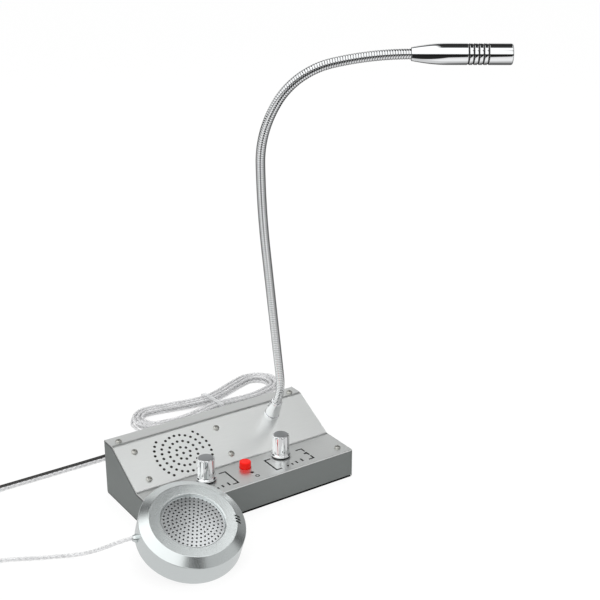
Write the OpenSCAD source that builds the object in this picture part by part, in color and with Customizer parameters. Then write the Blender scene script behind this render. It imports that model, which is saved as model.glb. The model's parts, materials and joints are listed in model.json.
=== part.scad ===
// Teller window intercom: base unit with a gooseneck microphone, a round outer speaker unit and their cords.
// Origin: centre of the base unit's footprint, on the table.
// +X operator's right, -Y front (knob side), +Z up.

/* [Base unit] */
// Width of the base unit
base_w = 200; // [180:1:240]
// Depth of the base unit
base_d = 100; // [96:1:130]
// Height of the front ledge above the table
front_h = 27.8; // [26:0.1:34]
// Height of the rear ledge above the table
rear_h = 53; // [48:0.5:64]
// Depth of the level front ledge
ledge_d = 39; // [36:0.5:48]
// Horizontal run of the sloped middle of the panel
slope_run = 45.5; // [42:0.5:56]
// Thickness of the bent top panel
panel_t = 1.5; // [1:0.1:2]
// Thickness of the folded tray
tray_t = 1.2; // [0.8:0.1:2]
// Inside radius of the panel's hollow bend
hollow_r = 7; // [4:0.5:10]
// Outside radius of the panel's crown bend
crown_r = 9; // [5:0.5:12]
// Height of the rubber feet
foot_h = 1.5; // [1:0.1:4]
// Radius of a rubber foot
foot_r = 6; // [4:0.5:9]

/* [Controls] */
// Sideways place of the middle between the knobs
controls_x = 0.7; // [-3:0.1:3]
// Distance of each knob from that middle
knob_x = 39; // [34:0.5:44]
// Distance of the controls behind the front edge
controls_in = 27; // [24:0.5:28]
// Radius of a knob's fluted body
knob_r = 7.8; // [7.5:0.1:8.4]
// Radius of a knob's base flange
knob_flange_r = 9; // [8.6:0.1:10]
// Height of a knob
knob_h = 21.2; // [18:0.1:30]
// Radius of a control shaft
shaft_r = 3; // [2:0.1:3.2]
// Running clearance around a turning shaft
shaft_gap = 0.05; // [0.02:0.01:0.1]
// Sideways place of the push button and the lamp
button_x = 1.5; // [-4:0.5:4]
// Radius of the red button cap
button_r = 5.2; // [4:0.1:7]
// Height of the button cap above the panel
button_up = 5.9; // [3.5:0.1:8]
// Travel of the push button
button_travel = 2; // [1:0.1:2.2]
// Sliding clearance around the button cap
button_gap = 0.25; // [0.15:0.05:0.4]
// Distance of the lamp behind the front edge
lamp_in = 15.2; // [12:0.1:16]
// Radius of the lamp's hole in the panel
lamp_hole_r = 1.6; // [1.5:0.1:2.5]

/* [Speaker] */
// Sideways place of the inner speaker
speaker_x = -42; // [-46:0.5:-38]
// Place of the inner speaker up the slope from the hollow bend
speaker_u = 25; // [24:0.5:27]
// Pitch of the rings of sound holes
ring_pitch = 6.6; // [6:0.1:7]
// Radius of a sound hole
sound_hole_r = 1.1; // [0.8:0.1:1.4]
// Width between the speaker screws
speaker_screw_w = 83; // [80:0.5:84]
// Length between the speaker screws, up the slope
speaker_screw_l = 30.4; // [28:0.2:32]

/* [Gooseneck and microphone] */
// Sideways place of the gooseneck collar
neck_x = 58.6; // [50:0.2:66]
// Place of the collar up the slope from the hollow bend
neck_u = 37.6; // [34:0.2:39]
// Radius of the gooseneck over its ribs
neck_r = 4; // [3.5:0.1:4.5]
// Depth of a rib's groove
rib_depth = 0.4; // [0.2:0.05:0.6]
// Radius of the gooseneck's bore
neck_bore_r = 2.2; // [1.8:0.1:2.6]
// Length of the collar above the panel
collar_h = 20; // [14:0.5:26]
// Tilt of the gooseneck's straight part from upright
neck_lean = 14; // [0:0.5:20]
// Heading of that tilt, from +X
neck_lean_heading = 217; // [180:1:270]
// Heading of the microphone, from +X
mic_heading = -35; // [-60:1:-10]
// Length of the bend at the gooseneck's foot
foot_bend_l = 32; // [24:1:44]
// Length of the gooseneck's straight part
straight_l = 134; // [90:1:180]
// Length of the microphone head
mic_l = 77; // [70:0.5:90]
// Radius of the microphone head
mic_r = 8.15; // [8:0.05:10]
// Radius of the microphone head where the gooseneck enters
mic_small_r = 5.25; // [5:0.05:6]
// Length of the microphone head's taper
mic_taper_l = 24.5; // [18:0.5:30]
// Clearance around the gooseneck in its sockets
neck_gap = 0.15; // [0.1:0.05:0.3]

/* [Outer unit] */
// Radius of the outer unit
puck_r = 44; // [42:0.5:54]
// Height of the outer unit's side wall
puck_wall_h = 19.4; // [18.6:0.2:26]
// Outer radius of the outer unit's level face
face_r = 36; // [34:0.1:38]
// Rise of the chamfer from the side wall to that face
chamfer_h = 4.7; // [3:0.1:6]
// Radius of the perforated grille
grille_r = 25.7; // [25:0.1:29]
// Depth of the grille below the face
grille_deep = 2.2; // [1.5:0.1:3]
// Wall thickness of the outer unit's shell
puck_wall = 2; // [1.5:0.1:3]
// Lean of the outer unit
puck_tilt = 23.2; // [18:0.1:30]
// Sideways place of the outer unit
puck_x = -89.2; // [-95:0.1:-60]
// Thickness of the foam pad
pad_t = 3; // [2:0.1:5]
// Radius of the foam pad
pad_r = 37; // [30:0.5:40]
// Pitch of the rings of holes in the grille
grille_pitch = 3.4; // [3:0.1:4]
// Radius of a grille hole
grille_hole_r = 0.65; // [0.4:0.05:0.8]
// Direction of the cord gland round the outer unit, from its right
gland_az = 164; // [150:1:180]
// Height of the cord gland on the side wall
gland_h = 6.5; // [5.5:0.5:12]

/* [Rear sockets] */
// Height of the sockets' axes above the table
socket_z = 15.2; // [15.2:0.1:20]
// Sideways place of the spare recording socket
record_x = 22; // [18:1:30]
// Radius of an audio socket's bore
audio_bore_r = 1.8; // [1.78:0.01:1.85]
// Radius of the supply socket's bore
supply_bore_r = 2.8; // [2.75:0.05:3]

/* [Hidden] */
$fn = 48;
eps = 0.01;
touch = 0.3;

front_y = -base_d / 2;
rear_y = base_d / 2;
slope_a = atan2(rear_h - front_h, slope_run);
bend1_y = front_y + ledge_d;
bend2_y = bend1_y + slope_run;
bend_steps = 8;
controls_y = front_y + controls_in;
knob_places = [controls_x - knob_x, controls_x + knob_x];

// ---- shared helpers ----

cord_sides = 8;
function unit(v) = v / norm(v);
// v turned by angle a about the unit axis k
function turned(v, k, a) = v * cos(a) + cross(k, v) * sin(a) + k * (k * v) * (1 - cos(a));
// a point of a Catmull-Rom curve through four points
function smooth(a, b, c, d, t) = 0.5 * (2 * b + (c - a) * t + (2 * a - 5 * b + 4 * c - d) * t * t
    + (3 * b - a - 3 * c + d) * t * t * t);
// a smooth route through points, with n steps on each stretch
function route(p, n) = let (last = len(p) - 1)
    concat([for (i = [0 : last - 1], s = [0 : n - 1])
        smooth(p[max(i - 1, 0)], p[i], p[i + 1], p[min(i + 2, last)], s / n)], [p[last]]);
// direction of a route at point i
function heading(p, i) = unit(p[min(i + 1, len(p) - 1)] - p[max(i - 1, 0)]);
// one ring of a tube: n points of radius r round c, square to d
function ring(c, d, r, n, ref) = let (u = unit(ref - d * (ref * d)), v = cross(d, u))
    [for (k = [0 : n - 1]) c + r * (cos(360 * k / n) * u + sin(360 * k / n) * v)];
// side faces of a tube of m rings of n points, starting at point number at
function sides(m, n, at = 0, inward = false) = [for (i = [0 : m - 2], k = [0 : n - 1])
    let (a = at + i * n + k, b = at + i * n + (k + 1) % n, c = b + n, e = a + n)
    each inward ? [[a, b, e], [b, c, e]] : [[a, e, b], [b, e, c]]];
// fan that closes a ring of n points
function fan(n, at, back) = [for (k = [1 : n - 2])
    back ? [at, at + k, at + k + 1] : [at, at + k + 1, at + k]];
// a cord: straight from its first place to the route's start and from the route's end to its last place
module cord(first, path, last, d) {
    tube(concat([first], route(path, 2), [last]), d, cord_sides);
}
// closed tube along the points p, with n sides
module tube(p, d, n, ref = [0, 0, 1]) {
    m = len(p);
    rings = [for (i = [0 : m - 1]) each ring(p[i], heading(p, i), d / 2, n, ref)];
    polyhedron(rings, concat(sides(m, n), fan(n, 0, true), fan(n, (m - 1) * n, false)), convexity = 10);
}
// least distance of a wound route to itself, between points more than skip steps apart
function least(p, skip) = min([for (i = [0 : len(p) - 1 - skip], j = [i + skip : len(p) - 1])
    norm(p[i] - p[j])]);

// on the top of the sloped panel, x across and u up the slope from the hollow bend
module on_slope(x, u) {
    translate([x, bend1_y, front_h]) rotate([slope_a, 0, 0]) translate([0, u, 0]) children();
}
// with +Z turned to point backwards, at a rear socket
module at_socket(x) {
    translate([x, rear_y, socket_z]) rotate([-90, 0, 0]) children();
}
module rod(r, z0, z1) {
    translate([0, 0, z0]) cylinder(r = r, h = z1 - z0);
}
module pipe(r_out, r_in, z0, z1) {
    difference() {
        rod(r_out, z0, z1);
        rod(r_in, z0 - 1, z1 + 1);
    }
}
// pan head screw, head from z = 0 upwards, shank below
module pan_screw(r, shank_l) {
    difference() {
        union() {
            rod(1.9 * r, 0, 0.6 * r);
            translate([0, 0, 0.6 * r]) cylinder(r1 = 1.9 * r, r2 = 1.2 * r, h = 0.7 * r);
            rod(r, -shank_l, eps);
        }
        for (a = [45, 135]) rotate([0, 0, a])
            translate([-r, -0.25 * r, 0.5 * r]) cube([2 * r, 0.5 * r, 2 * r]);
    }
}
module hex_nut(across, bore, h) {
    difference() {
        cylinder(r = across / sqrt(3), h = h, $fn = 6);
        rod(bore, -1, h + 1);
    }
}

// ---- base unit shell ----

bend1_t = hollow_r * tan(slope_a / 2);
bend2_t = crown_r * tan(slope_a / 2);
// the panel's outline in Y and Z, off below its top face
function panel_line(off) = concat([[front_y, front_h - off]],
    [for (i = [0 : bend_steps]) let (a = slope_a * i / bend_steps - 90)
        [bend1_y - bend1_t + (hollow_r + off) * cos(a), front_h + hollow_r + (hollow_r + off) * sin(a)]],
    [for (i = [0 : bend_steps]) let (a = 90 + slope_a * (1 - i / bend_steps))
        [bend2_y + bend2_t + (crown_r - off) * cos(a), rear_h - crown_r + (crown_r - off) * sin(a)]],
    [[rear_y, rear_h - off]]);
function backwards(p) = [for (i = [len(p) - 1 : -1 : 0]) p[i]];
// extrudes an outline in Y and Z across the width w
module across(w) {
    rotate([90, 0, 90]) translate([0, 0, -w / 2]) linear_extrude(w) children();
}
screw_x = base_w / 2 - 9;
screw_y = base_d / 2 - 10;
panel_screw_r = 1.5;
tab_size = 16;
rear_tab_l = rear_y - tray_t / 2 - bend2_y - bend2_t - 0.2;
tab_t = 2.4;
// children at the four panel screws, which stand on the panel
module at_panel_screws() {
    for (x = [-screw_x, screw_x]) {
        translate([x, -screw_y, front_h]) children();
        translate([x, screw_y, rear_h]) children();
    }
}
socket_hole_r = 4.2;
module base_tray() {
    color("dimgray") difference() {
        union() {
            difference() {
                across(base_w) polygon(concat(panel_line(panel_t), [[rear_y, foot_h], [front_y, foot_h]]));
                translate([-base_w / 2 + tray_t, front_y + tray_t, foot_h + tray_t])
                    cube([base_w - 2 * tray_t, base_d - 2 * tray_t, rear_h]);
            }
            for (x = [-base_w / 2 + tray_t / 2, base_w / 2 - tray_t / 2 - tab_size]) {
                translate([x, front_y + tray_t / 2, front_h - panel_t - tab_t])
                    cube([tab_size, tab_size, tab_t]);
                translate([x, rear_y - tray_t / 2 - rear_tab_l, rear_h - panel_t - tab_t])
                    cube([tab_size, rear_tab_l, tab_t]);
            }
        }
        at_panel_screws() rod(panel_screw_r + 0.02, -8, 2);
        for (x = [supply_x, record_x, outer_x]) at_socket(x) rod(socket_hole_r, -3, 1);
        at_standoffs() rod(standoff_peg_r + 0.02, -6, 2);
    }
}
module rubber_feet() {
    color("black") for (x = [-1, 1], y = [-1, 1])
        translate([x * (base_w / 2 - 14), y * (base_d / 2 - 12), 0]) rod(foot_r, 0, foot_h);
}
// a ring of holes, n to the full circle, only where the angle is within half of the sideways direction
module hole_ring(r, n, hole, half = 90) {
    for (i = [0 : n - 1]) let (a = 360 * i / n)
        if (min(a % 180, 180 - a % 180) <= half + eps)
            translate([r * cos(a), r * sin(a), 0]) rod(hole, -5, 5);
}
sound_rings = 4;
module sound_holes() {
    rod(sound_hole_r, -5, 5);
    for (k = [1 : sound_rings - 1]) hole_ring(k * ring_pitch, 8 * k, sound_hole_r);
    hole_ring(sound_rings * ring_pitch, 8 * sound_rings, sound_hole_r, 45);
}
dial_bush_r = 4.5;
collar_shank_r = 4.9;
module top_panel() {
    color("gainsboro") difference() {
        across(base_w) polygon(concat(panel_line(0), backwards(panel_line(panel_t))));
        at_panel_screws() rod(panel_screw_r + 0.2, -8, 2);
        on_slope(speaker_x, speaker_u) sound_holes();
        at_speaker_screws() rod(speaker_screw_r + 0.2, -5, 5);
        for (x = knob_places) translate([x, controls_y, front_h]) rod(dial_bush_r + 0.15, -5, 5);
        translate([button_x, controls_y, front_h]) rod(button_r + button_gap, -5, 5);
        translate([button_x, front_y + lamp_in, front_h]) rod(lamp_hole_r, -5, 5);
        on_slope(neck_x, neck_u) rod(collar_shank_r + 0.15, -5, 5);
    }
}
module panel_screws() {
    color("silver") at_panel_screws() pan_screw(panel_screw_r, 6);
}

// ---- inner speaker, under the slope ----

speaker_screw_r = 1.5;
speaker_frame_l = 41;
speaker_frame_t = 1.2;
speaker_basket_h = 12;
speaker_span = 23;
module at_speaker_screws() {
    on_slope(speaker_x, speaker_u) for (x = [-1, 1], y = [-1, 1])
        translate([x * speaker_screw_w / 2, y * speaker_screw_l / 2, 0]) children();
}
// a flat oval: two circles of radius r, span to each side of the middle, and the bar between them
module oval(r, span, h) {
    for (x = [-span, span]) translate([x, 0, 0]) cylinder(r = r, h = h);
    translate([-span, -r, 0]) cube([2 * span, 2 * r, h]);
}
module speaker_frame() {
    color("darkgray") on_slope(speaker_x, speaker_u) translate([0, 0, -panel_t]) difference() {
        union() {
            translate([-speaker_screw_w / 2 - 5, -speaker_frame_l / 2, -speaker_frame_t])
                cube([speaker_screw_w + 10, speaker_frame_l, speaker_frame_t]);
            translate([0, 0, -speaker_basket_h]) oval(18, speaker_span, speaker_basket_h);
        }
        translate([0, 0, -speaker_basket_h + 1.2]) oval(17, speaker_span, speaker_basket_h);
        rod(10, -20, 0);
        for (x = [-1, 1], y = [-1, 1])
            translate([x * speaker_screw_w / 2, y * speaker_screw_l / 2, 0])
                rod(speaker_screw_r + 0.2, -5, 5);
    }
}
module speaker_magnet() {
    color("slategray") on_slope(speaker_x, speaker_u) translate([0, 0, -panel_t - speaker_basket_h]) {
        rod(13, -9, 0);
        rod(9.5, -eps, 3);
    }
}
module speaker_cone() {
    color("saddlebrown") on_slope(speaker_x, speaker_u) translate([0, 0, -panel_t - 0.4]) difference() {
        hull() {
            translate([0, 0, -0.6]) oval(16.8, speaker_span, 0.6, $fn = 32);
            rod(6, -8, -7.5, $fn = 32);
        }
        hull() {
            translate([0, 0, 0]) oval(15.8, speaker_span, 0.6, $fn = 32);
            rod(5, -7.4, -6.9, $fn = 32);
        }
    }
}
module speaker_screws() {
    color("silver") at_speaker_screws() pan_screw(speaker_screw_r, 8);
}
module speaker_nuts() {
    color("silver") at_speaker_screws() translate([0, 0, -panel_t - speaker_frame_t - 2.4])
        hex_nut(5.5, speaker_screw_r + 0.02, 2.4);
}

// ---- controls on the front ledge ----

board_t = 1.6;
control_board_z = 14.5;
control_board_top = control_board_z + board_t;
dial_body_h = 8;
dial_nut_h = 2;
knob_lift = touch;
knob_recess_r = 7.2;
knob_recess_h = 3.4;
shaft_top = front_h + knob_lift + 14;
disc_r = 6.6;
disc_t = 1.2;
module at_dial(x) {
    translate([x, controls_y, 0]) children();
}
module dial_body(x) {
    color("silver") at_dial(x) difference() {
        union() {
            rod(8.5, control_board_top, control_board_top + dial_body_h);
            rod(dial_bush_r, control_board_top, front_h + dial_nut_h);
        }
        rod(shaft_r + shaft_gap, control_board_top + 2, front_h + 10);
    }
}
module dial_shaft(x) {
    color("gainsboro") at_dial(x) rod(shaft_r, control_board_top + 2.3, shaft_top);
}
module dial_nuts() {
    color("silver") for (x = knob_places) at_dial(x) translate([0, 0, front_h])
        hex_nut(12, dial_bush_r + 0.02, dial_nut_h);
}
flutes = 12;
flute_r = 2.2;
flute_depth = 0.45;
module knob(x) {
    color("whitesmoke") at_dial(x) translate([0, 0, front_h + knob_lift]) difference() {
        union() {
            rod(knob_flange_r, 0, 1.6);
            translate([0, 0, 1.6]) cylinder(r1 = knob_flange_r, r2 = knob_r, h = 0.8);
            rod(knob_r, 1.6, knob_h);
        }
        rod(knob_recess_r, -1, knob_recess_h);
        rod(shaft_r + 0.01, -1, 14.2);
        rod(disc_r + 0.02, knob_h - 0.9, knob_h + 1);
        for (i = [0 : flutes - 1]) rotate([0, 0, 360 * (i + 0.5) / flutes])
            translate([knob_r + flute_r - flute_depth, 0, 0]) rod(flute_r, 2.6, knob_h + 1);
    }
}
module knob_disc(x) {
    color("dimgray") at_dial(x) translate([0, 0, front_h + knob_lift + knob_h - 0.9]) rod(disc_r, 0, disc_t);
}
switch_h = 6;
plunger_r = 1.8;
cap_bottom = control_board_top + switch_h + 0.4 + button_travel;
plunger_top = cap_bottom + 4.5;
spring_seat_r = 4;
spring_top = cap_bottom + 3.6;
module at_button() {
    translate([button_x, controls_y, 0]) children();
}
module button_cap() {
    cap_top = front_h + button_up;
    color("red") at_button() difference() {
        rotate_extrude() polygon([[0, cap_bottom], [button_r, cap_bottom], [button_r, cap_top - 1.2],
            [button_r - 0.25, cap_top - 0.6], [button_r - 1, cap_top - 0.2], [button_r - 2.4, cap_top],
            [0, cap_top + 0.1]]);
        rod(spring_seat_r, cap_bottom - 1, spring_top);
        rod(plunger_r + 0.01, cap_bottom - 1, plunger_top);
    }
}
module switch_plunger() {
    color("ivory") at_button() rod(plunger_r, control_board_top + 0.6 + button_travel, plunger_top);
}
module switch_body() {
    color("darkslategray") at_button() difference() {
        translate([-5.5, -5.5, control_board_top]) cube([11, 11, switch_h]);
        rod(plunger_r + button_gap, control_board_top + 0.5, control_board_top + switch_h + 1);
    }
}
spring_wire = 0.5;
spring_turns = 4;
spring_steps = 12;
spring_bottom = control_board_top + switch_h;
module switch_spring() {
    rise = spring_top - spring_bottom - spring_wire - 0.1;
    color("silver") at_button() tube([for (i = [0 : spring_turns * spring_steps])
        let (a = 360 * i / spring_steps, z = rise * i / (spring_turns * spring_steps))
        [3 * cos(a), 3 * sin(a), spring_bottom + spring_wire / 2 + 0.05 + z]], spring_wire, 6);
}
module indicator_lamp() {
    color("maroon") translate([button_x, front_y + lamp_in, 0]) {
        rod(1.9, 21, 22);
        rod(1.45, 22 - eps, 25.6);
        translate([0, 0, 25.6]) sphere(r = 1.45);
        for (x = [-1.27, 1.27]) translate([x, 0, 0]) rod(0.3, control_board_top, 21 + eps);
    }
}
module control_board() {
    color("darkgreen") translate([controls_x - knob_x - 16, front_y + 9, control_board_z])
        cube([2 * knob_x + 32, 30, board_t]);
}

// ---- electronics on the tray's floor ----

floor_z = foot_h + tray_t;
standoff_h = 5;
standoff_peg_r = 1.5;
main_board_x = 6;
main_board_y = -6;
main_board_w = 86;
main_board_l = 50;
main_board_z = floor_z + standoff_h;
module at_standoffs() {
    for (x = [main_board_x + 4, main_board_x + main_board_w - 4],
        y = [main_board_y + 4, main_board_y + main_board_l - 4]) translate([x, y, floor_z]) children();
}
module board_standoffs() {
    color("goldenrod") at_standoffs() difference() {
        union() {
            cylinder(r = 3, h = standoff_h, $fn = 6);
            rod(standoff_peg_r, -tray_t, eps);
        }
        rod(1.27, 1, standoff_h + 1);
    }
}
module main_board() {
    color("darkgreen") difference() {
        translate([main_board_x, main_board_y, main_board_z]) cube([main_board_w, main_board_l, board_t]);
        at_standoffs() rod(1.5, standoff_h - 1, standoff_h + 4);
    }
}
module board_screws() {
    color("silver") at_standoffs() translate([0, 0, standoff_h + board_t]) pan_screw(1.25, 4.5);
}
module board_capacitors() {
    color("navy") for (c = [[24, 8, 4, 10], [35, 8, 4, 10], [77, 13, 5, 12], [26, 28, 3, 8], [36, 28, 3, 8]])
        translate([main_board_x + c[0], main_board_y + c[1], 0])
            rod(c[2], main_board_z + board_t, main_board_z + board_t + c[3]);
}
module board_chips() {
    color("black") for (c = [[44, 8, 10, 7, 3.4], [60, 8, 10, 7, 3.4], [52, 22, 16, 10, 2.6],
        [70, 24, 8, 8, 2.2]]) translate([main_board_x + c[0], main_board_y + c[1], main_board_z + board_t])
            cube([c[2], c[3], c[4]]);
}
module ribbon_cable() {
    low = main_board_z + board_t;
    high = control_board_top;
    back = front_y + 9 + 30;
    color("lightgray") translate([15, 0, 0]) rotate([90, 0, 90]) linear_extrude(10)
        polygon([[back - 5, high], [back + 1.2, high], [back + 1.2, low + 3.4], [main_board_y + 5, low + 3.4],
            [main_board_y + 5, low], [main_board_y + 6.2, low], [main_board_y + 6.2, low + 4.6],
            [back + 2.4, low + 4.6], [back + 2.4, high + 1.2], [back - 5, high + 1.2]]);
}

// ---- gooseneck and microphone head ----

slope_up = [0, -sin(slope_a), cos(slope_a)];
collar_foot = [neck_x, bend1_y + neck_u * cos(slope_a), front_h + neck_u * sin(slope_a)];
neck_dir = [cos(neck_lean_heading) * sin(neck_lean), sin(neck_lean_heading) * sin(neck_lean), cos(neck_lean)];
mic_dir = [cos(mic_heading), sin(mic_heading), 0];
neck_side = [-sin(mic_heading), cos(mic_heading), 0];
foot_axis = unit(cross(slope_up, neck_dir));
foot_turn = acos(slope_up * neck_dir);
top_axis = unit(cross(neck_dir, mic_dir));
top_turn = acos(neck_dir * mic_dir);
neck_in = 8;
socket_in = 6;
// length and turn of each run of the top bend, which ends level
top_runs = [[83, 4.5], [57, 30], [55, 46], [60, top_turn - 80.5]];
run_at = foot_bend_l + straight_l + neck_in;
run_ends = [for (i = 0, s = run_at, a = 0; i <= len(top_runs);
    s = s + (i < len(top_runs) ? top_runs[i][0] : 0), a = a + (i < len(top_runs) ? top_runs[i][1] : 0),
    i = i + 1) [s, a]];
neck_l = run_ends[len(top_runs)][0] + socket_in;
// the gooseneck's direction at length s from its hidden lower end
function neck_heading(s) = s < run_at
    ? turned(slope_up, foot_axis, lookup(s, [[neck_in, 0], [neck_in + foot_bend_l, foot_turn]]))
    : turned(neck_dir, top_axis, lookup(s, run_ends));
neck_start = collar_foot + slope_up * (collar_h - neck_in);
// points along the gooseneck, n equal steps of length ds
function neck_points(ds, n) = [for (i = 0, p = neck_start; i <= n;
    p = p + neck_heading((i + 0.5) * ds) * ds, i = i + 1) p];
ribs = 130;
bore_every = 10;
module gooseneck() {
    steps = 2 * ribs;
    ds = neck_l / steps;
    p = neck_points(ds, steps);
    outer = [for (i = [0 : steps])
        each ring(p[i], neck_heading(i * ds), neck_r - (i % 2) * rib_depth, 8, neck_side)];
    bored = [for (i = [0 : bore_every : steps])
        each ring(p[i], neck_heading(i * ds), neck_bore_r, 8, neck_side)];
    inner_rings = steps / bore_every + 1;
    at = 8 * (steps + 1);
    last = 8 * steps;
    last_in = at + 8 * (inner_rings - 1);
    ends = [for (k = [0 : 7]) let (j = (k + 1) % 8) each [[k, j, at + k], [j, at + j, at + k],
        [last + k, last_in + k, last + j], [last + j, last_in + k, last_in + j]]];
    color("silver") polyhedron(concat(outer, bored),
        concat(sides(steps + 1, 8), sides(inner_rings, 8, at, true), ends), convexity = 12);
}
module neck_collar() {
    color("whitesmoke") on_slope(neck_x, neck_u) difference() {
        union() {
            rod(7.2, 0, 2.2);
            translate([0, 0, 2.2]) cylinder(r1 = 6.4, r2 = 5.4, h = collar_h - 3.2);
            translate([0, 0, collar_h - 1]) cylinder(r1 = 5.4, r2 = 4.9, h = 1);
            rod(collar_shank_r, -10, eps);
        }
        rod(neck_r + neck_gap, collar_h - neck_in - 0.5, collar_h + 1);
        rod(neck_bore_r, -11, collar_h);
    }
}
module neck_nut() {
    color("silver") on_slope(neck_x, neck_u) translate([0, 0, -panel_t - 3])
        hex_nut(14, collar_shank_r + 0.02, 3);
}
mic_mouth = neck_points(neck_l / (2 * ribs), 2 * ribs)[2 * ribs] - mic_dir * socket_in;
// at the microphone head's small end, +Z pointing along the head
module at_mic() {
    translate(mic_mouth) rotate([0, 0, mic_heading]) rotate([0, 90, 0]) children();
}
groove_at = 43.3;
groove_step = 3.75;
grooves = 5;
module mic_shell() {
    color("whitesmoke") at_mic() difference() {
        rotate_extrude() polygon([[0, 0], [mic_small_r - 0.4, 0], [mic_small_r, 0.4],
            [mic_small_r + 0.42 * (mic_r - mic_small_r), mic_taper_l * 0.28],
            [mic_small_r + 0.72 * (mic_r - mic_small_r), mic_taper_l * 0.56],
            [mic_small_r + 0.92 * (mic_r - mic_small_r), mic_taper_l * 0.8], [mic_r, mic_taper_l * 1.1],
            [mic_r, mic_l - 2.6], [mic_r - 0.35, mic_l - 1.4], [mic_r - 1.1, mic_l - 0.4], [mic_r - 1.9, mic_l],
            [0, mic_l]]);
        rod(neck_r + neck_gap, -1, socket_in + 0.5);
        rod(neck_bore_r, 0, mic_l);
        rod(6.6, mic_taper_l * 1.1, mic_l - 2);
        rod(5.6, mic_l - 3, mic_l + 1);
        for (i = [0 : grooves - 1]) translate([0, 0, groove_at + i * groove_step])
            pipe(mic_r + 2, mic_r - 0.55, -0.6, 0.6);
    }
}
module mic_end_grille() {
    color("dimgray") at_mic() difference() {
        rod(5.58, mic_l - 1.8, mic_l - 0.6);
        rod(0.6, mic_l - 3, mic_l + 1);
        for (i = [0 : 5]) rotate([0, 0, 60 * i]) translate([2.4, 0, 0]) rod(0.6, mic_l - 3, mic_l + 1);
        for (i = [0 : 11]) rotate([0, 0, 30 * i + 15]) translate([4.3, 0, 0]) rod(0.6, mic_l - 3, mic_l + 1);
    }
}
module mic_capsule() {
    color("silver") at_mic() rod(4.85, mic_l - 12, mic_l - 4);
}
module mic_ring() {
    color("black") at_mic() pipe(6.58, 4.87, mic_l - 11, mic_l - 5);
}

// ---- rear sockets ----

supply_x = -30;
outer_x = 50;
socket_bush_r = 4;
module socket(x, bore, deep) {
    color("dimgray") at_socket(x) difference() {
        union() {
            translate([-5.5, -5.5, -tray_t - 15]) cube([11, 11, 15]);
            rod(socket_bush_r, -tray_t - eps, 3);
        }
        rod(bore, 3 - deep, 4);
    }
}
module supply_socket() {
    socket(supply_x, supply_bore_r, 12);
    color("silver") at_socket(supply_x) rod(1, -9.05, 2);
}
module record_socket() {
    socket(record_x, audio_bore_r, 16);
}
module outer_socket() {
    socket(outer_x, audio_bore_r, 16);
}
module socket_nuts() {
    color("silver") for (x = [supply_x, record_x, outer_x]) at_socket(x) hex_nut(11, socket_bush_r + 0.02, 1.8);
}

// ---- outer unit, in its own frame with +Z square to its face ----

ring_h = puck_wall_h + chamfer_h;
chamfer_a = atan2(chamfer_h, puck_r - face_r);
lip_r = grille_r + 0.3;
grille_z = ring_h - grille_deep;
seat_r = grille_r - 1.4;
plate_t = 2;
puck_z = max(pad_r * sin(puck_tilt) + pad_t * cos(puck_tilt), puck_r * sin(puck_tilt));
puck_y = front_y - (pad_t + 0.1 + cos(puck_tilt) * (front_h - puck_z)) / sin(puck_tilt);
module at_puck() {
    translate([puck_x, puck_y, puck_z]) rotate([puck_tilt, 0, 0]) children();
}
boss_r = 3;
boss_at = puck_r - puck_wall - boss_r - 2.5;
module at_bosses() {
    for (i = [0 : 2]) rotate([0, 0, 90 + 120 * i]) translate([boss_at, 0, 0]) children();
}
slot_az = -18.5;
module at_gland() {
    at_puck() rotate([0, 0, gland_az]) translate([puck_r, 0, gland_h]) rotate([0, 90, 0]) children();
}
// a point on the gland's axis, s outside the side wall
function gland_point(s) = let (r = puck_r + s, y = r * sin(gland_az)) [puck_x + r * cos(gland_az),
    puck_y + y * cos(puck_tilt) - gland_h * sin(puck_tilt),
    puck_z + y * sin(puck_tilt) + gland_h * cos(puck_tilt)];
module puck_shell() {
    color("silver") difference() {
        at_puck() {
            rotate_extrude($fn = 96) polygon([[puck_r, 0], [puck_r, puck_wall_h], [face_r, ring_h],
                [lip_r + 0.5, ring_h], [lip_r, ring_h - 0.5], [lip_r, grille_z - 1], [seat_r, grille_z - 1],
                [seat_r, grille_z - 2], [lip_r + 3, grille_z - 2], [face_r - 1, ring_h - puck_wall],
                [puck_r - puck_wall, puck_wall_h - 1.3], [puck_r - puck_wall, 0]]);
            difference() {
                at_bosses() rod(boss_r, plate_t + 0.1, puck_wall_h + 0.4 * chamfer_h);
                at_bosses() rod(1.12, plate_t, 12);
            }
        }
        at_puck() for (i = [-1 : 1]) rotate([0, 0, slot_az + i * 5.6])
            translate([38, 0, ring_h - (38 - face_r) * tan(chamfer_a)])
                rotate([0, chamfer_a, 35]) cube([1.5, 4.8, 9], center = true);
        at_gland() rod(3.05, -puck_wall - 1, 1);
    }
}
grille_rings = 7;
module puck_grille() {
    color("gainsboro") at_puck() difference() {
        rod(grille_r, grille_z - 1, grille_z);
        translate([0, 0, grille_z]) {
            rod(grille_hole_r, -5, 5);
            for (k = [1 : grille_rings]) hole_ring(k * grille_pitch, 6 * k, grille_hole_r);
        }
    }
}
driver_top = grille_z - 2;
driver_h = 9;
module puck_driver_frame() {
    color("dimgray") at_puck() translate([0, 0, driver_top]) difference() {
        union() {
            rod(lip_r, -1.4, 0);
            translate([0, 0, -driver_h]) cylinder(r1 = 14, r2 = 24.5, h = driver_h - 1.4 + eps);
        }
        translate([0, 0, -driver_h + 1]) cylinder(r1 = 13, r2 = 23.5, h = driver_h - 2.4 + eps);
        rod(23.5, -1.5, 1);
        rod(8, -driver_h - 1, 0);
    }
}
module puck_magnet() {
    color("slategray") at_puck() {
        rod(12.5, plate_t + 0.6, driver_top - driver_h);
        rod(7.5, driver_top - driver_h - eps, driver_top - driver_h + 2.5);
    }
}
module puck_cone() {
    color("saddlebrown") at_puck() translate([0, 0, driver_top - 0.3])
        rotate_extrude() polygon([[0, -4.6], [6, -5.6], [23.3, -0.6], [23.3, 0], [6, -5], [0, -4]]);
}
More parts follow.
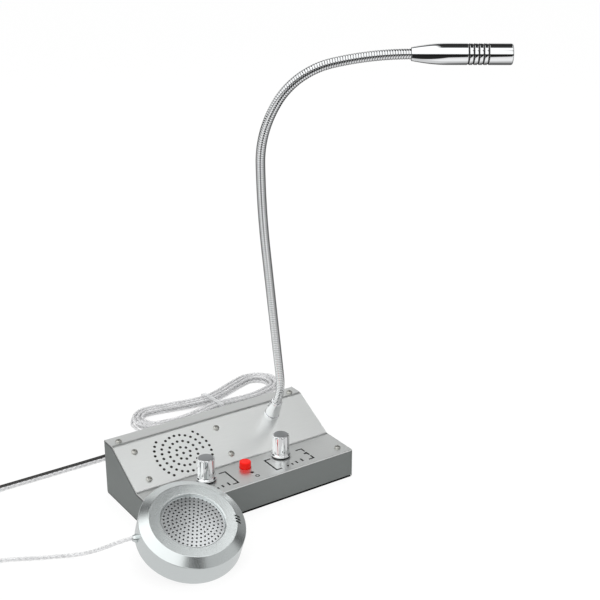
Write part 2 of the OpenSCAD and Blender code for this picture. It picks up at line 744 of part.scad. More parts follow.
module window_mic() {
    color("silver") at_puck() rotate([0, 0, slot_az]) translate([37.6, 0, 0])
        rod(3, puck_wall_h - 4.5, puck_wall_h - 0.9);
}
module puck_back_plate() {
    color("dimgray") at_puck() difference() {
        rod(puck_r - puck_wall - 0.05, 0, plate_t);
        at_bosses() rod(1.4, -1, plate_t + 1);
        at_bosses() rod(2.6, -1, 1);
    }
}
module puck_screws() {
    color("silver") at_puck() at_bosses() {
        rod(2.5, 0.05, 1);
        rod(1.1, 1 - eps, 9);
    }
}
module puck_pad() {
    color("black") at_puck() rod(pad_r, -pad_t, 0);
}
gland_l = 3;
module puck_gland() {
    color("dimgray") at_gland() difference() {
        union() {
            rod(3, -puck_wall - 0.5, eps);
            rod(3.5, 0, 1.2);
            translate([0, 0, 1.2]) cylinder(r1 = 3.1, r2 = 2.5, h = gland_l - 1.2);
        }
        rod(clear_d / 2, gland_l - 3, gland_l + 1);
    }
}

// ---- cords ----

clear_d = 3.6;
supply_d = 4;
// turns in from the outside at turn t of a wound cord with n turns to a layer
function turns_in(t, n) = let (f = t % (2 * n)) f < n ? f : 2 * n - f;
// layers up at turn t, with each climb in the half turn where the spiral reverses
function layers_up(t, n, layers) = let (m = round(t / n), near = t - m * n)
    m > 0 && m < layers && abs(near) < 0.25 ? m - 0.5 + near / 0.5 : min(floor(t / n), layers - 1);

// the hank: loops with round ends, drawn in at the tie, along a gentle arc
hank_at = [67, 150, 0];
hank_turn = 5;
hank_half_l = 66;
hank_half_w = 24;
hank_turns = 5.5;
hank_step = 4.5;
hank_rise = clear_d + 0.5;
hank_arc_r = 240;
hank_waist = 9.4;
hank_waist_l = 30;
hank_lift = 1.3;
// flat place of ring number i, 24 to the loop: 6 steps on each run and 6 round each end
function hank_flat(i) = let (t = i / 24, s = i % 24, c = hank_half_l,
    r = hank_half_w - turns_in(t, hank_turns / 2) * hank_step,
    a = s < 3 ? 180 - 30 * s : s < 9 ? 90 : s < 15 ? 90 - 30 * (s - 9) : s < 21 ? -90 : -90 - 30 * (s - 21),
    x = s < 3 || s >= 21 ? -c + r * cos(a) : s < 9 ? c * ((s - 3) / 3 - 1) : s < 15 ? c + r * cos(a)
        : c * (1 - (s - 15) / 3),
    g = exp(-pow(x / hank_waist_l, 2)), up = layers_up(t, hank_turns / 2, 2))
    [x, sin(a) * (r - hank_waist * g), clear_d / 2 + up * hank_rise + hank_lift * g];
// a flat place, bent to the arc and set down behind the base unit
function hank_place(p) = let (a = p[0] / hank_arc_r * 180 / PI, x = (hank_arc_r - p[1]) * sin(a),
    y = hank_arc_r - (hank_arc_r - p[1]) * cos(a), c = cos(hank_turn), s = sin(hank_turn))
    hank_at + [x * c - y * s, x * s + y * c, p[2]];
hank_last = hank_turns * 24 + 1;
hank_line = [for (p = concat([hank_flat(0) - [0, clear_d, 0]], [for (i = [0 : hank_last]) hank_flat(i)],
    [hank_flat(hank_last) + clear_d * [cos(120), -sin(120), 0]])) hank_place(p)];
echo(hank_gap = least(hank_line, 8) - clear_d);
module clear_cord_hank() {
    color("lightgray") tube(hank_line, clear_d, 6);
}
module hank_tie() {
    half = hank_half_w - hank_waist + clear_d / 2 + 0.6;
    top = clear_d + hank_rise + hank_lift + 0.5;
    color("dimgray") translate(hank_at) rotate([0, 0, hank_turn]) rotate([90, 0, 90])
        translate([0, 0, -2.5]) linear_extrude(5) difference() {
            translate([-half - 0.8, 0]) square([2 * half + 1.6, top + 0.8]);
            translate([-half, 0.8]) square([2 * half, top - 0.8]);
        }
}

// the coil of the supply cord, and its last stretch to the plug-in supply
coil_at = [-222, 145, 0];
coil_r = 22;
coil_turns = 2;
coil_layers = 4;
coil_step = 4.5;
coil_rise = supply_d + 0.5;
coil_out = coil_r + coil_turns * coil_step / 2;
coil_end = [[-4, -26.5, 15.5], [-12, -27.5, 15], [-20, -29, 14], [-26, -29.5, 13.2], [-32, -29.5, 13]];
coil_line = [for (p = concat([[supply_d, -coil_out, supply_d / 2]],
    [for (i = [0 : coil_layers * coil_turns * 24]) let (t = i / 24, up = layers_up(t, coil_turns, coil_layers),
        r = coil_out - turns_in(t, coil_turns) * coil_step)
        [-r * sin(360 * t), -r * cos(360 * t), supply_d / 2 + up * coil_rise]],
    coil_end)) coil_at + p];
echo(coil_gap = least(coil_line, 8) - supply_d);
module supply_coil() {
    color("black") tube(coil_line, supply_d, 6);
}

// from the outer unit over the table, out to the left and back behind the base unit to the hank
clear_front = [gland_point(gland_l + 2), [-145.5, -67.5, 25.5], [-151, -58, 18.5], [-156, -47, 11],
    [-163, -36.5, 5], [-174, -27, 2], [-194, -17, 1.8], [-220, -3.5, 1.8], [-250, 4, 1.8], [-275, 25, 1.8],
    [-282, 55, 1.8], [-267, 84, 1.8], [-237, 101, 1.8], [-205, 105.9, 1.8], [-180, 105.9, 1.8],
    [-128, 105.9, 1.8], [-76, 105.9, 1.8], [-50, 106, 1.8], [-34, 108, 1.8], [-26, 114, 1.8], [-23, 124, 1.8],
    [-23.3, 136, 1.8], [-23.5, 144, 1.8]];
hank_in = unit(hank_line[1] - hank_line[0]);
module clear_cord_front() {
    color("lightgray") cord(gland_point(gland_l - 2.8), concat(clear_front, [hank_line[0] - 4 * hank_in]),
        hank_line[0] - 0.1 * hank_in, clear_d);
}
// from the hank down to the table and forward to its plug
hank_tip = hank_line[len(hank_line) - 1];
hank_out = unit(hank_tip - hank_line[len(hank_line) - 2]);
clear_rear = [[150, 149, 4.2], [138, 136, 1.8], [122, 124, 1.8], [104, 117, 1.8], [84, 113, 1.8],
    [67, 109, 3.6], [56, 101, 9], [51, 93, 13]];
module clear_cord_rear() {
    color("lightgray") cord(hank_tip + 0.1 * hank_out, concat([hank_tip + 4 * hank_out], clear_rear,
        [[outer_x, rear_y + 36, socket_z]]), [outer_x, rear_y + 31.2, socket_z], clear_d);
}
// dark cord from its plug over the clear one to the table, along the back and out to the left
supply_front = [[supply_x, rear_y + 36, socket_z], [-30.5, 95, 13], [-34, 105, 8.5], [-44, 112, 4],
    [-58, 112.5, 2.1], [-76, 110.5, 2], [-128, 110, 2], [-180, 110, 2], [-189, 111.5, 2], [-197, 114.3, 2],
    [-205, 117.3, 2], [-213, 118.5, 2]];
module supply_cord() {
    color("black") cord([supply_x, rear_y + 31.2, socket_z], supply_front,
        coil_line[0] + [0.1, 0, 0], supply_d);
}
module clear_plug() {
    color("dimgray") at_socket(outer_x) difference() {
        union() {
            rod(audio_bore_r - 0.05, -10, 3.2 + eps);
            rod(4, 3.2, 20);
            translate([0, 0, 20]) cylinder(r1 = 3.4, r2 = 2.5, h = 14);
        }
        rod(clear_d / 2, 31, 35);
    }
}
module supply_plug() {
    color("black") at_socket(supply_x) difference() {
        union() {
            rod(supply_bore_r - 0.05, -7, 3.2 + eps);
            rod(4.6, 3.2, 20);
            translate([0, 0, 20]) cylinder(r1 = 4, r2 = 2.8, h = 14);
        }
        rod(1.05, -8, 3);
        rod(supply_d / 2, 31, 35);
    }
}
supply_size = [46, 33, 26];
relief_l = 12;
// the plug-in supply, whose strain relief ends where the coil's last stretch does
module plug_in_supply() {
    color("black") translate(coil_line[len(coil_line) - 1] - [relief_l, 0, 0]) {
        translate([-supply_size[0], -supply_size[1] / 2, -supply_size[2] / 2]) cube(supply_size);
        rotate([0, 90, 0]) difference() {
            translate([0, 0, -eps]) cylinder(r1 = 4.5, r2 = 2.8, h = relief_l);
            rod(supply_d / 2, relief_l - 0.05, relief_l + 1);
        }
        for (y = [-6.35, 6.35]) translate([-supply_size[0] - 16, y - 0.75, -3.1]) cube([16 + eps, 1.5, 6.2]);
    }
}

base_tray();
top_panel();
panel_screws();
rubber_feet();
speaker_frame();
speaker_magnet();
speaker_cone();
speaker_screws();
speaker_nuts();
knob(knob_places[0]);  // knob_left
knob(knob_places[1]);  // knob_right
knob_disc(knob_places[0]);  // knob_disc_left
knob_disc(knob_places[1]);  // knob_disc_right
dial_shaft(knob_places[0]);  // dial_shaft_left
dial_shaft(knob_places[1]);  // dial_shaft_right
dial_body(knob_places[0]);  // dial_body_left
dial_body(knob_places[1]);  // dial_body_right
dial_nuts();
button_cap();
switch_plunger();
switch_body();
switch_spring();
indicator_lamp();
control_board();
main_board();
board_standoffs();
board_screws();
board_capacitors();
board_chips();
ribbon_cable();
neck_collar();
neck_nut();
gooseneck();
mic_shell();
mic_end_grille();
mic_capsule();
mic_ring();
supply_socket();
record_socket();
outer_socket();
socket_nuts();
puck_shell();
puck_grille();
puck_driver_frame();
puck_magnet();
puck_cone();
window_mic();
puck_back_plate();
puck_screws();
puck_pad();
puck_gland();
clear_cord_front();
clear_cord_hank();
clear_cord_rear();
hank_tie();
clear_plug();
supply_cord();
supply_coil();
supply_plug();
plug_in_supply();
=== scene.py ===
"""Looks of the teller window intercom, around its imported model. Lengths are in millimetres, times MM."""

import json
import math

import bpy
import numpy as np
from mathutils import Matrix, Vector


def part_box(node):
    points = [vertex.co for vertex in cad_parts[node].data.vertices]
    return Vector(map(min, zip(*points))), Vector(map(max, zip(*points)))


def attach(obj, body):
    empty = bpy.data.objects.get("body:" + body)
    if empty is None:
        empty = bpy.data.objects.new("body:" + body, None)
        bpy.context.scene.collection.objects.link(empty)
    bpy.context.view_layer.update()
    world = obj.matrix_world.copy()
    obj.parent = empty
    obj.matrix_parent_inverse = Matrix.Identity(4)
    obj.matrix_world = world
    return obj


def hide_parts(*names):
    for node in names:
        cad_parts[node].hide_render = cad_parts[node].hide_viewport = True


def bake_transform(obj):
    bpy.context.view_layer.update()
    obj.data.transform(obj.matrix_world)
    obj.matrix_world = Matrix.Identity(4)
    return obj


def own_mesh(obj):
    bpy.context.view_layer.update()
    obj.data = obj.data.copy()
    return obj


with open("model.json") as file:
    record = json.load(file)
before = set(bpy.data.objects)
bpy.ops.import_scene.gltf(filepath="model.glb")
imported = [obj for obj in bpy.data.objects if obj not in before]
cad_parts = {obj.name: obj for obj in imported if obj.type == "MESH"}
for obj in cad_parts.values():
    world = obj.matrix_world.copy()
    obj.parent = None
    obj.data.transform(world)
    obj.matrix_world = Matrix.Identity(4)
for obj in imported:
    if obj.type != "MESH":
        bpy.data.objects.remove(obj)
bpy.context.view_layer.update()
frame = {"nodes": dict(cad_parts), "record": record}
scene = bpy.context.scene
MM = 0.001

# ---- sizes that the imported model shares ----

BASE_W = 200
BASE_D = 100
FRONT_Y = -50
REAR_Y = 50
FRONT_H = 27.8
REAR_H = 53
LEDGE_D = 39
SLOPE_RUN = 45.5
PANEL_T = 1.5
HOLLOW_R = 7
CROWN_R = 9
SLOPE_A = math.atan2(REAR_H - FRONT_H, SLOPE_RUN)
SLOPE_FOOT_Y = FRONT_Y + LEDGE_D
FOOT_H = 1.5
TRAY_T = 1.2

# X and Y on the ledge and the table. A place on the slope has U, measured up the slope from its foot.
CONTROLS_Y = -23
KNOB_PLACES = {"left": -38.3, "right": 39.7}
BUTTON_X = 1.5
LAMP_Y = -34.8
SPEAKER_X, SPEAKER_U = -42, 25
NECK_X, NECK_U = 58.6, 37.6

SOCKET_Z = 15.2
SUPPLY_X, RECORD_X, OUTER_X = -30, 22, 50
CLEAR_D = 3.6
SUPPLY_D = 4
# Behind the rear wall: a cord's first point out of its plug, its end in the plug, and its socket's mouth.
CORD_FREE, CORD_END, SOCKET_OUT = 36, 31.2, 3.2

PUCK_R = 44
PUCK_TILT = math.radians(23.2)
PUCK_X, PUCK_Y, PUCK_Z = -89.2, -82.3, 17.33
PUCK = Matrix.Translation((PUCK_X, PUCK_Y, PUCK_Z)) @ Matrix.Rotation(PUCK_TILT, 4, "X")
GLAND_AZ, GLAND_H, GLAND_L = math.radians(164), 6.5, 3


# ---- camera ----

camera = bpy.data.objects.new("camera", bpy.data.cameras.new("camera"))
scene.collection.objects.link(camera)
camera.location = Vector((-458.8, -786.6, 518.5)) * MM
camera.rotation_euler = (math.radians(69.58), 0, math.radians(-34.23))
camera.data.sensor_width = 36
camera.data.lens = 67.47
scene.camera = camera
scene.view_settings.view_transform = "Standard"


# ---- materials ----

MATERIALS = {}


def add_node(tree, kind, links=(), **values):
    """A new shader node, with its properties, and its sockets linked or set."""
    node = tree.nodes.new("ShaderNode" + kind)
    for key, value in values.items():
        setattr(node, key, value)
    for socket, value in links:
        if isinstance(value, bpy.types.NodeSocket):
            tree.links.new(value, node.inputs[socket])
        else:
            node.inputs[socket].default_value = value
    return node


def new_material(name):
    """A material with its Principled shader, and a function that adds a node to it."""
    mat = bpy.data.materials.new(name)
    mat.use_nodes = True
    tree = mat.node_tree

    def add(kind, links=(), **values):
        return add_node(tree, kind, links, **values)

    return mat, tree.nodes["Principled BSDF"], add, tree.links.new


def shade(colour, factor):
    """The colour made lighter or darker, with full alpha."""
    return tuple(min(1.0, c * factor) for c in colour) + (1.0,)


def finish(name, colour, rough, metallic=0.0, grain=2.0, stretch=(1, 1, 1), vary=0.06, rough_vary=0.05,
           bump=0.02, **sockets):
    """A surface with fine grain, given in millimetres, and larger patches in its colour and gloss."""
    patches = 25
    low, high = 0.3, 0.7
    mat, shader, add, link = new_material(name)
    place = add("TexCoord").outputs["Object"]
    to_mm = add("Mapping", [("Vector", place), ("Scale", tuple(s / MM / grain for s in stretch))])
    fine = add("TexNoise", [("Vector", to_mm.outputs[0]), ("Scale", 1.0), ("Detail", 4.0)])
    wide = add("TexNoise", [("Vector", place), ("Scale", 1 / MM / patches), ("Detail", 2.0)])
    both = add("Mix", [("Factor", 0.4), ("A", fine.outputs["Fac"]), ("B", wide.outputs["Fac"])])
    ramp = add("ValToRGB", [("Fac", both.outputs[0])])
    for stop, where, factor in zip(ramp.color_ramp.elements, (low, high), (1 - vary, 1 + vary)):
        stop.position = where
        stop.color = shade(colour, factor)
    link(ramp.outputs["Color"], shader.inputs["Base Color"])
    gloss = add("MapRange", [("Value", both.outputs[0]), ("From Min", low), ("From Max", high),
                             ("To Min", max(0.0, rough - rough_vary)), ("To Max", rough + rough_vary)])
    link(gloss.outputs[0], shader.inputs["Roughness"])
    height = add("Bump", [("Height", fine.outputs["Fac"]), ("Strength", 0.6), ("Distance", bump * MM)])
    link(height.outputs[0], shader.inputs["Normal"])
    shader.inputs["Metallic"].default_value = metallic
    for socket, value in sockets.items():
        shader.inputs[socket.replace("_", " ")].default_value = value
    MATERIALS[name] = mat


BRUSHED = (0.03, 1, 1)
STRIPED = (0, 1, 1)
finish("tray_grey", (0.20, 0.215, 0.21), rough=0.55, metallic=0.35, grain=0.5, bump=0.01, vary=0.05)
finish("panel_silver", (0.85, 0.865, 0.855), rough=0.36, metallic=1.0, grain=0.35, stretch=BRUSHED,
       vary=0.03, rough_vary=0.03, bump=0.004)
finish("screw_steel", (0.55, 0.55, 0.52), rough=0.33, metallic=1.0, grain=0.6, bump=0.008)
finish("plated_steel", (0.68, 0.68, 0.66), rough=0.3, metallic=1.0, grain=0.8, bump=0.006)
finish("black_rubber", (0.025, 0.025, 0.026), rough=0.62, grain=0.5, bump=0.03, vary=0.15)
finish("magnet", (0.12, 0.12, 0.13), rough=0.5, metallic=0.8, grain=1.0, bump=0.03)
finish("paper", (0.045, 0.04, 0.036), rough=0.85, grain=0.4, bump=0.05, vary=0.2)
finish("chrome", (0.86, 0.87, 0.88), rough=0.05, metallic=1.0, grain=3.0, vary=0.015, rough_vary=0.015,
       bump=0.001)
finish("knob_disc", (0.42, 0.43, 0.44), rough=0.34, metallic=1.0, grain=0.3, stretch=BRUSHED, vary=0.06,
       rough_vary=0.05, bump=0.004)
finish("red_plastic", (0.97, 0.012, 0.006), rough=0.35, grain=0.8, bump=0.004, vary=0.03,
       Specular_IOR_Level=0.2)
finish("white_plastic", (0.82, 0.82, 0.8), rough=0.4, bump=0.006)
finish("black_plastic", (0.022, 0.022, 0.024), rough=0.42, grain=0.5, bump=0.02, vary=0.12)
finish("lamp_red", (0.10, 0.006, 0.006), rough=0.12, bump=0.001, vary=0.05, Coat_Weight=1.0)
finish("board_green", (0.012, 0.13, 0.045), rough=0.3, grain=1.0, bump=0.01, vary=0.12)
finish("brass", (0.72, 0.52, 0.2), rough=0.3, metallic=1.0, grain=0.8, bump=0.006)
finish("capacitor", (0.015, 0.025, 0.11), rough=0.28, bump=0.004)
finish("ribbon", (0.5, 0.5, 0.5), rough=0.5, grain=1.27, stretch=STRIPED, vary=0.15, bump=0.05)
finish("puck_silver", (0.78, 0.82, 0.82), rough=0.24, metallic=1.0, grain=0.25, vary=0.03, bump=0.003)
finish("foam_black", (0.02, 0.02, 0.021), rough=0.9, grain=0.9, bump=0.12, vary=0.3)
finish("dark_cord", (0.018, 0.017, 0.016), rough=0.16, grain=1.5, bump=0.01, vary=0.15,
       Coat_Weight=0.6, Coat_Roughness=0.06)
finish("tie", (0.78, 0.79, 0.8), rough=0.25, grain=1.0, bump=0.01, Alpha=0.35)
finish("grille_dark", (0.07, 0.07, 0.072), rough=0.5, metallic=0.6, grain=0.5, bump=0.02)
finish("neck_chrome", (0.84, 0.85, 0.86), rough=0.08, metallic=1.0, grain=3.0, vary=0.03, bump=0.002)
# A near-black metal that paints the shade in the gooseneck's rib gaps and the microphone's grooves.
finish("painted_groove_shade", (0.05, 0.05, 0.05), rough=0.4, metallic=0.8, grain=1.0, vary=0.2, bump=0.01)
finish("grille_silver", (0.80, 0.82, 0.83), rough=0.3, metallic=1.0, grain=0.4, vary=0.03, bump=0.004)
finish("clear_cord", (0.88, 0.885, 0.89), rough=0.12, grain=1.2, vary=0.03, bump=0.01,
       Alpha=0.25, Coat_Weight=0.8, Coat_Roughness=0.05)
finish("cord_strands", (0.86, 0.86, 0.87), rough=0.35, metallic=0.6, grain=0.5, vary=0.1, bump=0.05)
finish("panel_ink", (0.008, 0.008, 0.008), rough=0.6, grain=0.6, vary=0.2, bump=0.004,
       Specular_IOR_Level=0.1)

CREASE = 35
CAD_CREASE = 30


def smooth(obj, sharp=CREASE):
    """Smooth shading, with a crease where faces meet at more than the angle sharp."""
    obj.data.shade_smooth()
    obj.data.set_sharp_from_angle(angle=math.radians(sharp))


SLOT_OF = {row["node"]: row["material_slot"] for row in frame["record"]["subparts"]}
for node, obj in frame["nodes"].items():
    obj.data.materials.clear()
    obj.data.materials.append(MATERIALS[SLOT_OF[node]])
    smooth(obj, CAD_CREASE)


# ---- meshes ----

def new_object(name, points, faces):
    """A mesh of points in millimetres, put in the scene."""
    mesh = bpy.data.meshes.new(name)
    mesh.from_pydata([Vector(p) * MM for p in points], [], faces)
    mesh.update()
    obj = bpy.data.objects.new(name, mesh)
    scene.collection.objects.link(obj)
    return obj


def piece(name, shape, slot, body, node=None, material=None, sharp=CREASE):
    """A shape that rides on a body and, if nodes are named, stands for them. Its material is its slot's, or
    the one that is named."""
    obj = new_object(name, *shape)
    obj.data.materials.append(MATERIALS[material or slot])
    smooth(obj, sharp)
    if body:
        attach(obj, body)
    if node:
        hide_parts(*([node] if isinstance(node, str) else node))
    return obj


def fillet(line, radius, steps=4, closed=False):
    """A line in two dimensions with its corners rounded to the radius, or less where a side is short."""
    nearly_straight = math.radians(87)
    out = []
    last = len(line) - 1
    for i, corner in enumerate(line):
        if not closed and i in (0, last):
            out.append(tuple(corner))
            continue
        p = Vector(corner)
        a = Vector(line[i - 1]) - p
        b = Vector(line[(i + 1) % len(line)]) - p
        half = a.angle(b) / 2
        if half > nearly_straight:
            out.append(tuple(p))
            continue
        cut_off = min(radius / math.tan(half), 0.45 * a.length, 0.45 * b.length)
        r = cut_off * math.tan(half)
        middle = p + (a.normalized() + b.normalized()).normalized() * (r / math.sin(half))
        start = p + a.normalized() * cut_off - middle
        end = p + b.normalized() * cut_off - middle
        turn = start.angle_signed(end)
        for k in range(steps + 1):
            spin = Matrix.Rotation(-turn * k / steps, 2)
            out.append(tuple(middle + spin @ start))
    return out


def turned(n):
    """Angles of n even steps round a circle."""
    return [2 * math.pi * k / n for k in range(n)]


def lathe(outline, n=96):
    """An outline of (radius, height), from its lower axis end to its upper one, turned round Z."""
    points, rings, faces = [], [], []
    for r, z in outline:
        if r < 1e-6:
            rings.append([len(points)])
            points.append(Vector((0, 0, z)))
        else:
            rings.append(range(len(points), len(points) + n))
            points += [Vector((r * math.cos(a), r * math.sin(a), z)) for a in turned(n)]
    for low, high in zip(rings, rings[1:]):
        for k in range(n):
            j = (k + 1) % n
            if len(low) == 1 and len(high) > 1:
                faces.append((low[0], high[j], high[k]))
            elif len(high) == 1 and len(low) > 1:
                faces.append((low[k], low[j], high[0]))
            elif len(low) > 1:
                faces.append((low[k], low[j], high[j], high[k]))
    return points, faces


def closed_lathe(outline, n=96):
    """As lathe, for an outline that closes on itself away from the axis."""
    points, faces = lathe(list(outline) + [outline[0]], n)
    whole = len(outline) * n
    return points[:whole], [tuple(i % whole for i in f) for f in faces]


def rod(r, low, high, n=24):
    """A cylinder round Z."""
    return lathe([(0, low), (r, low), (r, high), (0, high)], n)


def drill(r, deep=4, flare=0.25, n=20):
    """A cutter for a hole in the face at z = 0, with a small flare at its mouth."""
    return lathe([(0, -deep), (r, -deep), (r, -0.15), (r + flare, 0.1), (r + flare, 2), (0, 2)], n)


def at(x, y, z):
    return Matrix.Translation((x, y, z))


def turn_by(degrees, axis):
    return Matrix.Rotation(math.radians(degrees), 4, axis)


def moved(matrix, shape):
    points, faces = shape
    return [matrix @ p for p in points], faces


def joined(*shapes):
    """Several shapes as one list of points and one of faces."""
    points, faces = [], []
    for p, f in shapes:
        faces += [tuple(i + len(points) for i in face) for face in f]
        points += list(p)
    return points, faces


def block(size, middle=(0, 0, 0)):
    """A cuboid."""
    x, y, z = (s / 2 for s in size)
    corners = [(i * x, j * y, k * z) for i in (-1, 1) for j in (-1, 1) for k in (-1, 1)]
    faces = [(0, 1, 3, 2), (4, 6, 7, 5), (0, 4, 5, 1), (2, 3, 7, 6), (0, 2, 6, 4), (1, 5, 7, 3)]
    return [Vector(middle) + Vector(c) for c in corners], faces


def apply_modifiers(obj):
    evaluated = obj.evaluated_get(bpy.context.evaluated_depsgraph_get())
    made = bpy.data.meshes.new_from_object(evaluated)
    obj.modifiers.clear()
    obj.data = made


def rounded(obj, width, segments, angle):
    """Rounds the piece's edges where its faces meet at more than the angle."""
    bevel = obj.modifiers.new("edges", "BEVEL")
    bevel.width = width * MM
    bevel.segments = segments
    bevel.limit_method = "ANGLE"
    bevel.angle_limit = math.radians(angle)
    bevel.harden_normals = False
    apply_modifiers(obj)
    smooth(obj, angle)


def cut(obj, shape):
    """Takes closed shapes out of a piece."""
    cutter = new_object("cutter", *shape)
    boolean = obj.modifiers.new("cut", "BOOLEAN")
    boolean.operation = "DIFFERENCE"
    boolean.solver = "EXACT"
    boolean.use_self = False
    boolean.object = cutter
    bpy.context.view_layer.update()
    apply_modifiers(obj)
    bpy.data.objects.remove(cutter)
    smooth(obj)


def even_normals(obj):
    """Keeps flat faces flat in smooth shading."""
    obj.modifiers.new("normals", "WEIGHTED_NORMAL").keep_sharp = True
    apply_modifiers(obj)


def shape_of(obj):
    """The piece's points in millimetres and its faces; the piece itself is removed."""
    shape = [v.co / MM for v in obj.data.vertices], [tuple(p.vertices) for p in obj.data.polygons]
    bpy.data.objects.remove(obj)
    return shape


# ---- cords ----

def smooth_line(points, steps):
    """A Catmull-Rom line through points, with a number of steps on each stretch."""
    p = [Vector(q) for q in points]
    last = len(p) - 1
    out = []
    for i in range(last):
        a, b, c, d = p[max(i - 1, 0)], p[i], p[i + 1], p[min(i + 2, last)]
        for s in range(steps):
            t = s / steps
            out.append(0.5 * (2 * b + (c - a) * t + (2 * a - 5 * b + 4 * c - d) * t * t
                              + (3 * b - a - 3 * c + d) * t ** 3))
    return out + [p[last]]


def carried(line):
    """A line's points, with two directions square to it at each, carried along without twist."""
    line = np.array([tuple(p) for p in line])
    along = np.gradient(line, axis=0)
    along /= np.linalg.norm(along, axis=1)[:, None]
    side = np.cross(along[0], (0, 0, 1) if abs(along[0][2]) < 0.9 else (1, 0, 0))
    sides = []
    for t in along:
        side = side - t * (side @ t)
        side = side / np.linalg.norm(side)
        sides.append(side)
    sides = np.array(sides)
    return line, sides, np.cross(along, sides)


def tube(line, radii, n):
    """A closed tube round a line, with one radius or one for each of its points."""
    line, u, v = carried(line)
    radii = np.broadcast_to(radii, len(line))
    points, faces = [], []
    for c, r, a, b in zip(line, radii, u, v):
        points += [Vector(c + r * (math.cos(w) * a + math.sin(w) * b)) for w in turned(n)]
    for i in range(len(line) - 1):
        for k in range(n):
            j = (k + 1) % n
            faces.append((i * n + k, i * n + j, (i + 1) * n + j, (i + 1) * n + k))
    end = (len(line) - 1) * n
    return points, [*faces, tuple(reversed(range(n))), tuple(range(end, end + n))]


def measured(line):
    """How far along the line each of its points lies."""
    steps = np.diff([tuple(p) for p in line], axis=0)
    return np.concatenate([[0], np.cumsum(np.linalg.norm(steps, axis=1))])


def evenly(line, step):
    """The line again, with points about one step apart."""
    s = measured(line)
    wanted = np.linspace(0, s[-1], max(2, round(s[-1] / step) + 1))
    flat = np.array([tuple(p) for p in line])
    return [Vector(q) for q in np.stack([np.interp(wanted, s, flat[:, k]) for k in range(3)], axis=1)]


def turns_in(t, n):
    """Turns in from the outside at turn t of a cord that is wound n turns in, n turns out, and so on."""
    f = t % (2 * n)
    return f if f < n else 2 * n - f


def layers_up(t, n, layers):
    """Layers up at turn t of such a cord, with each climb in the half turn where the spiral reverses."""
    m = math.floor(t / n + 0.5)
    near = t - m * n
    if 0 < m < layers and abs(near) < 0.25:
        return m - 0.5 + near / 0.5
    return min(math.floor(t / n), layers - 1)


HANK_AT, HANK_TURN = Vector((67, 150, 0)), math.radians(5)
HANK_HALF_L, HANK_HALF_W, HANK_TURNS, HANK_STEP = 66, 24, 5.5, 4.5
HANK_RISE = CLEAR_D + 0.5
HANK_ARC_R, HANK_WAIST, HANK_WAIST_L, HANK_LIFT = 240, 9.4, 30, 1.3
HANK_STEPS = 24


def hank_flat(i):
    """Place i along the hank's loops, laid out flat and straight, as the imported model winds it. A loop has
    half a round end of 3 steps, a side of 6, a round end of 6, a side of 6, and the other half of 3."""
    t, s = i / HANK_STEPS, i % HANK_STEPS
    r = HANK_HALF_W - turns_in(t, HANK_TURNS / 2) * HANK_STEP
    if s < 3 or s >= 21:
        a = math.radians(180 - 30 * s if s < 3 else -90 - 30 * (s - 21))
        x = -HANK_HALF_L + r * math.cos(a)
    elif s < 9:
        a = math.radians(90)
        x = HANK_HALF_L * ((s - 3) / 3 - 1)
    elif s < 15:
        a = math.radians(90 - 30 * (s - 9))
        x = HANK_HALF_L + r * math.cos(a)
    else:
        a = math.radians(-90)
        x = HANK_HALF_L * (1 - (s - 15) / 3)
    waist = math.exp(-((x / HANK_WAIST_L) ** 2))
    up = layers_up(t, HANK_TURNS / 2, 2)
    return Vector((x, math.sin(a) * (r - HANK_WAIST * waist),
                   CLEAR_D / 2 + up * HANK_RISE + HANK_LIFT * waist))


def hank_place(p):
    """A flat place of the hank, bent to its arc and set down behind the base unit."""
    a = p.x / HANK_ARC_R
    r = HANK_ARC_R - p.y
    bent = Vector((r * math.sin(a), HANK_ARC_R - r * math.cos(a), p.z))
    return HANK_AT + Matrix.Rotation(HANK_TURN, 3, "Z") @ bent


hank_last = int(HANK_TURNS * HANK_STEPS) + 1
lead_in = Vector((0, -CLEAR_D, 0))
lead_out = Vector((math.cos(math.radians(120)), -math.sin(math.radians(120)), 0)) * CLEAR_D
hank_line = [hank_place(p) for p in [hank_flat(0) + lead_in,
                                     *(hank_flat(i) for i in range(hank_last + 1)),
                                     hank_flat(hank_last) + lead_out]]

COIL_AT = Vector((-222, 145, 0))
COIL_R, COIL_TURNS, COIL_LAYERS, COIL_STEP = 22, 2, 4, 4.5
COIL_RISE = SUPPLY_D + 0.5
COIL_OUT = COIL_R + COIL_TURNS * COIL_STEP / 2
COIL_STEPS = 24


def coil_flat(i):
    """Place i along the supply cord's coil, from its middle on the table."""
    t = i / COIL_STEPS
    r = COIL_OUT - turns_in(t, COIL_TURNS) * COIL_STEP
    a = 2 * math.pi * t
    z = SUPPLY_D / 2 + layers_up(t, COIL_TURNS, COIL_LAYERS) * COIL_RISE
    return Vector((-r * math.sin(a), -r * math.cos(a), z))


coil_start = [(SUPPLY_D, -COIL_OUT, SUPPLY_D / 2)]
coil_turns = [coil_flat(i) for i in range(COIL_LAYERS * COIL_TURNS * COIL_STEPS + 1)]
coil_end = [(-4, -26.5, 15.5), (-12, -27.5, 15), (-20, -29, 14), (-26, -29.5, 13.2), (-32, -29.5, 13)]
coil_line = [COIL_AT + Vector(p) for p in coil_start + coil_turns + coil_end]


def gland_point(s):
    """A point on the cord gland's axis, s outside the outer unit's side wall."""
    r = PUCK_R + s
    return PUCK @ Vector((r * math.cos(GLAND_AZ), r * math.sin(GLAND_AZ), GLAND_H))


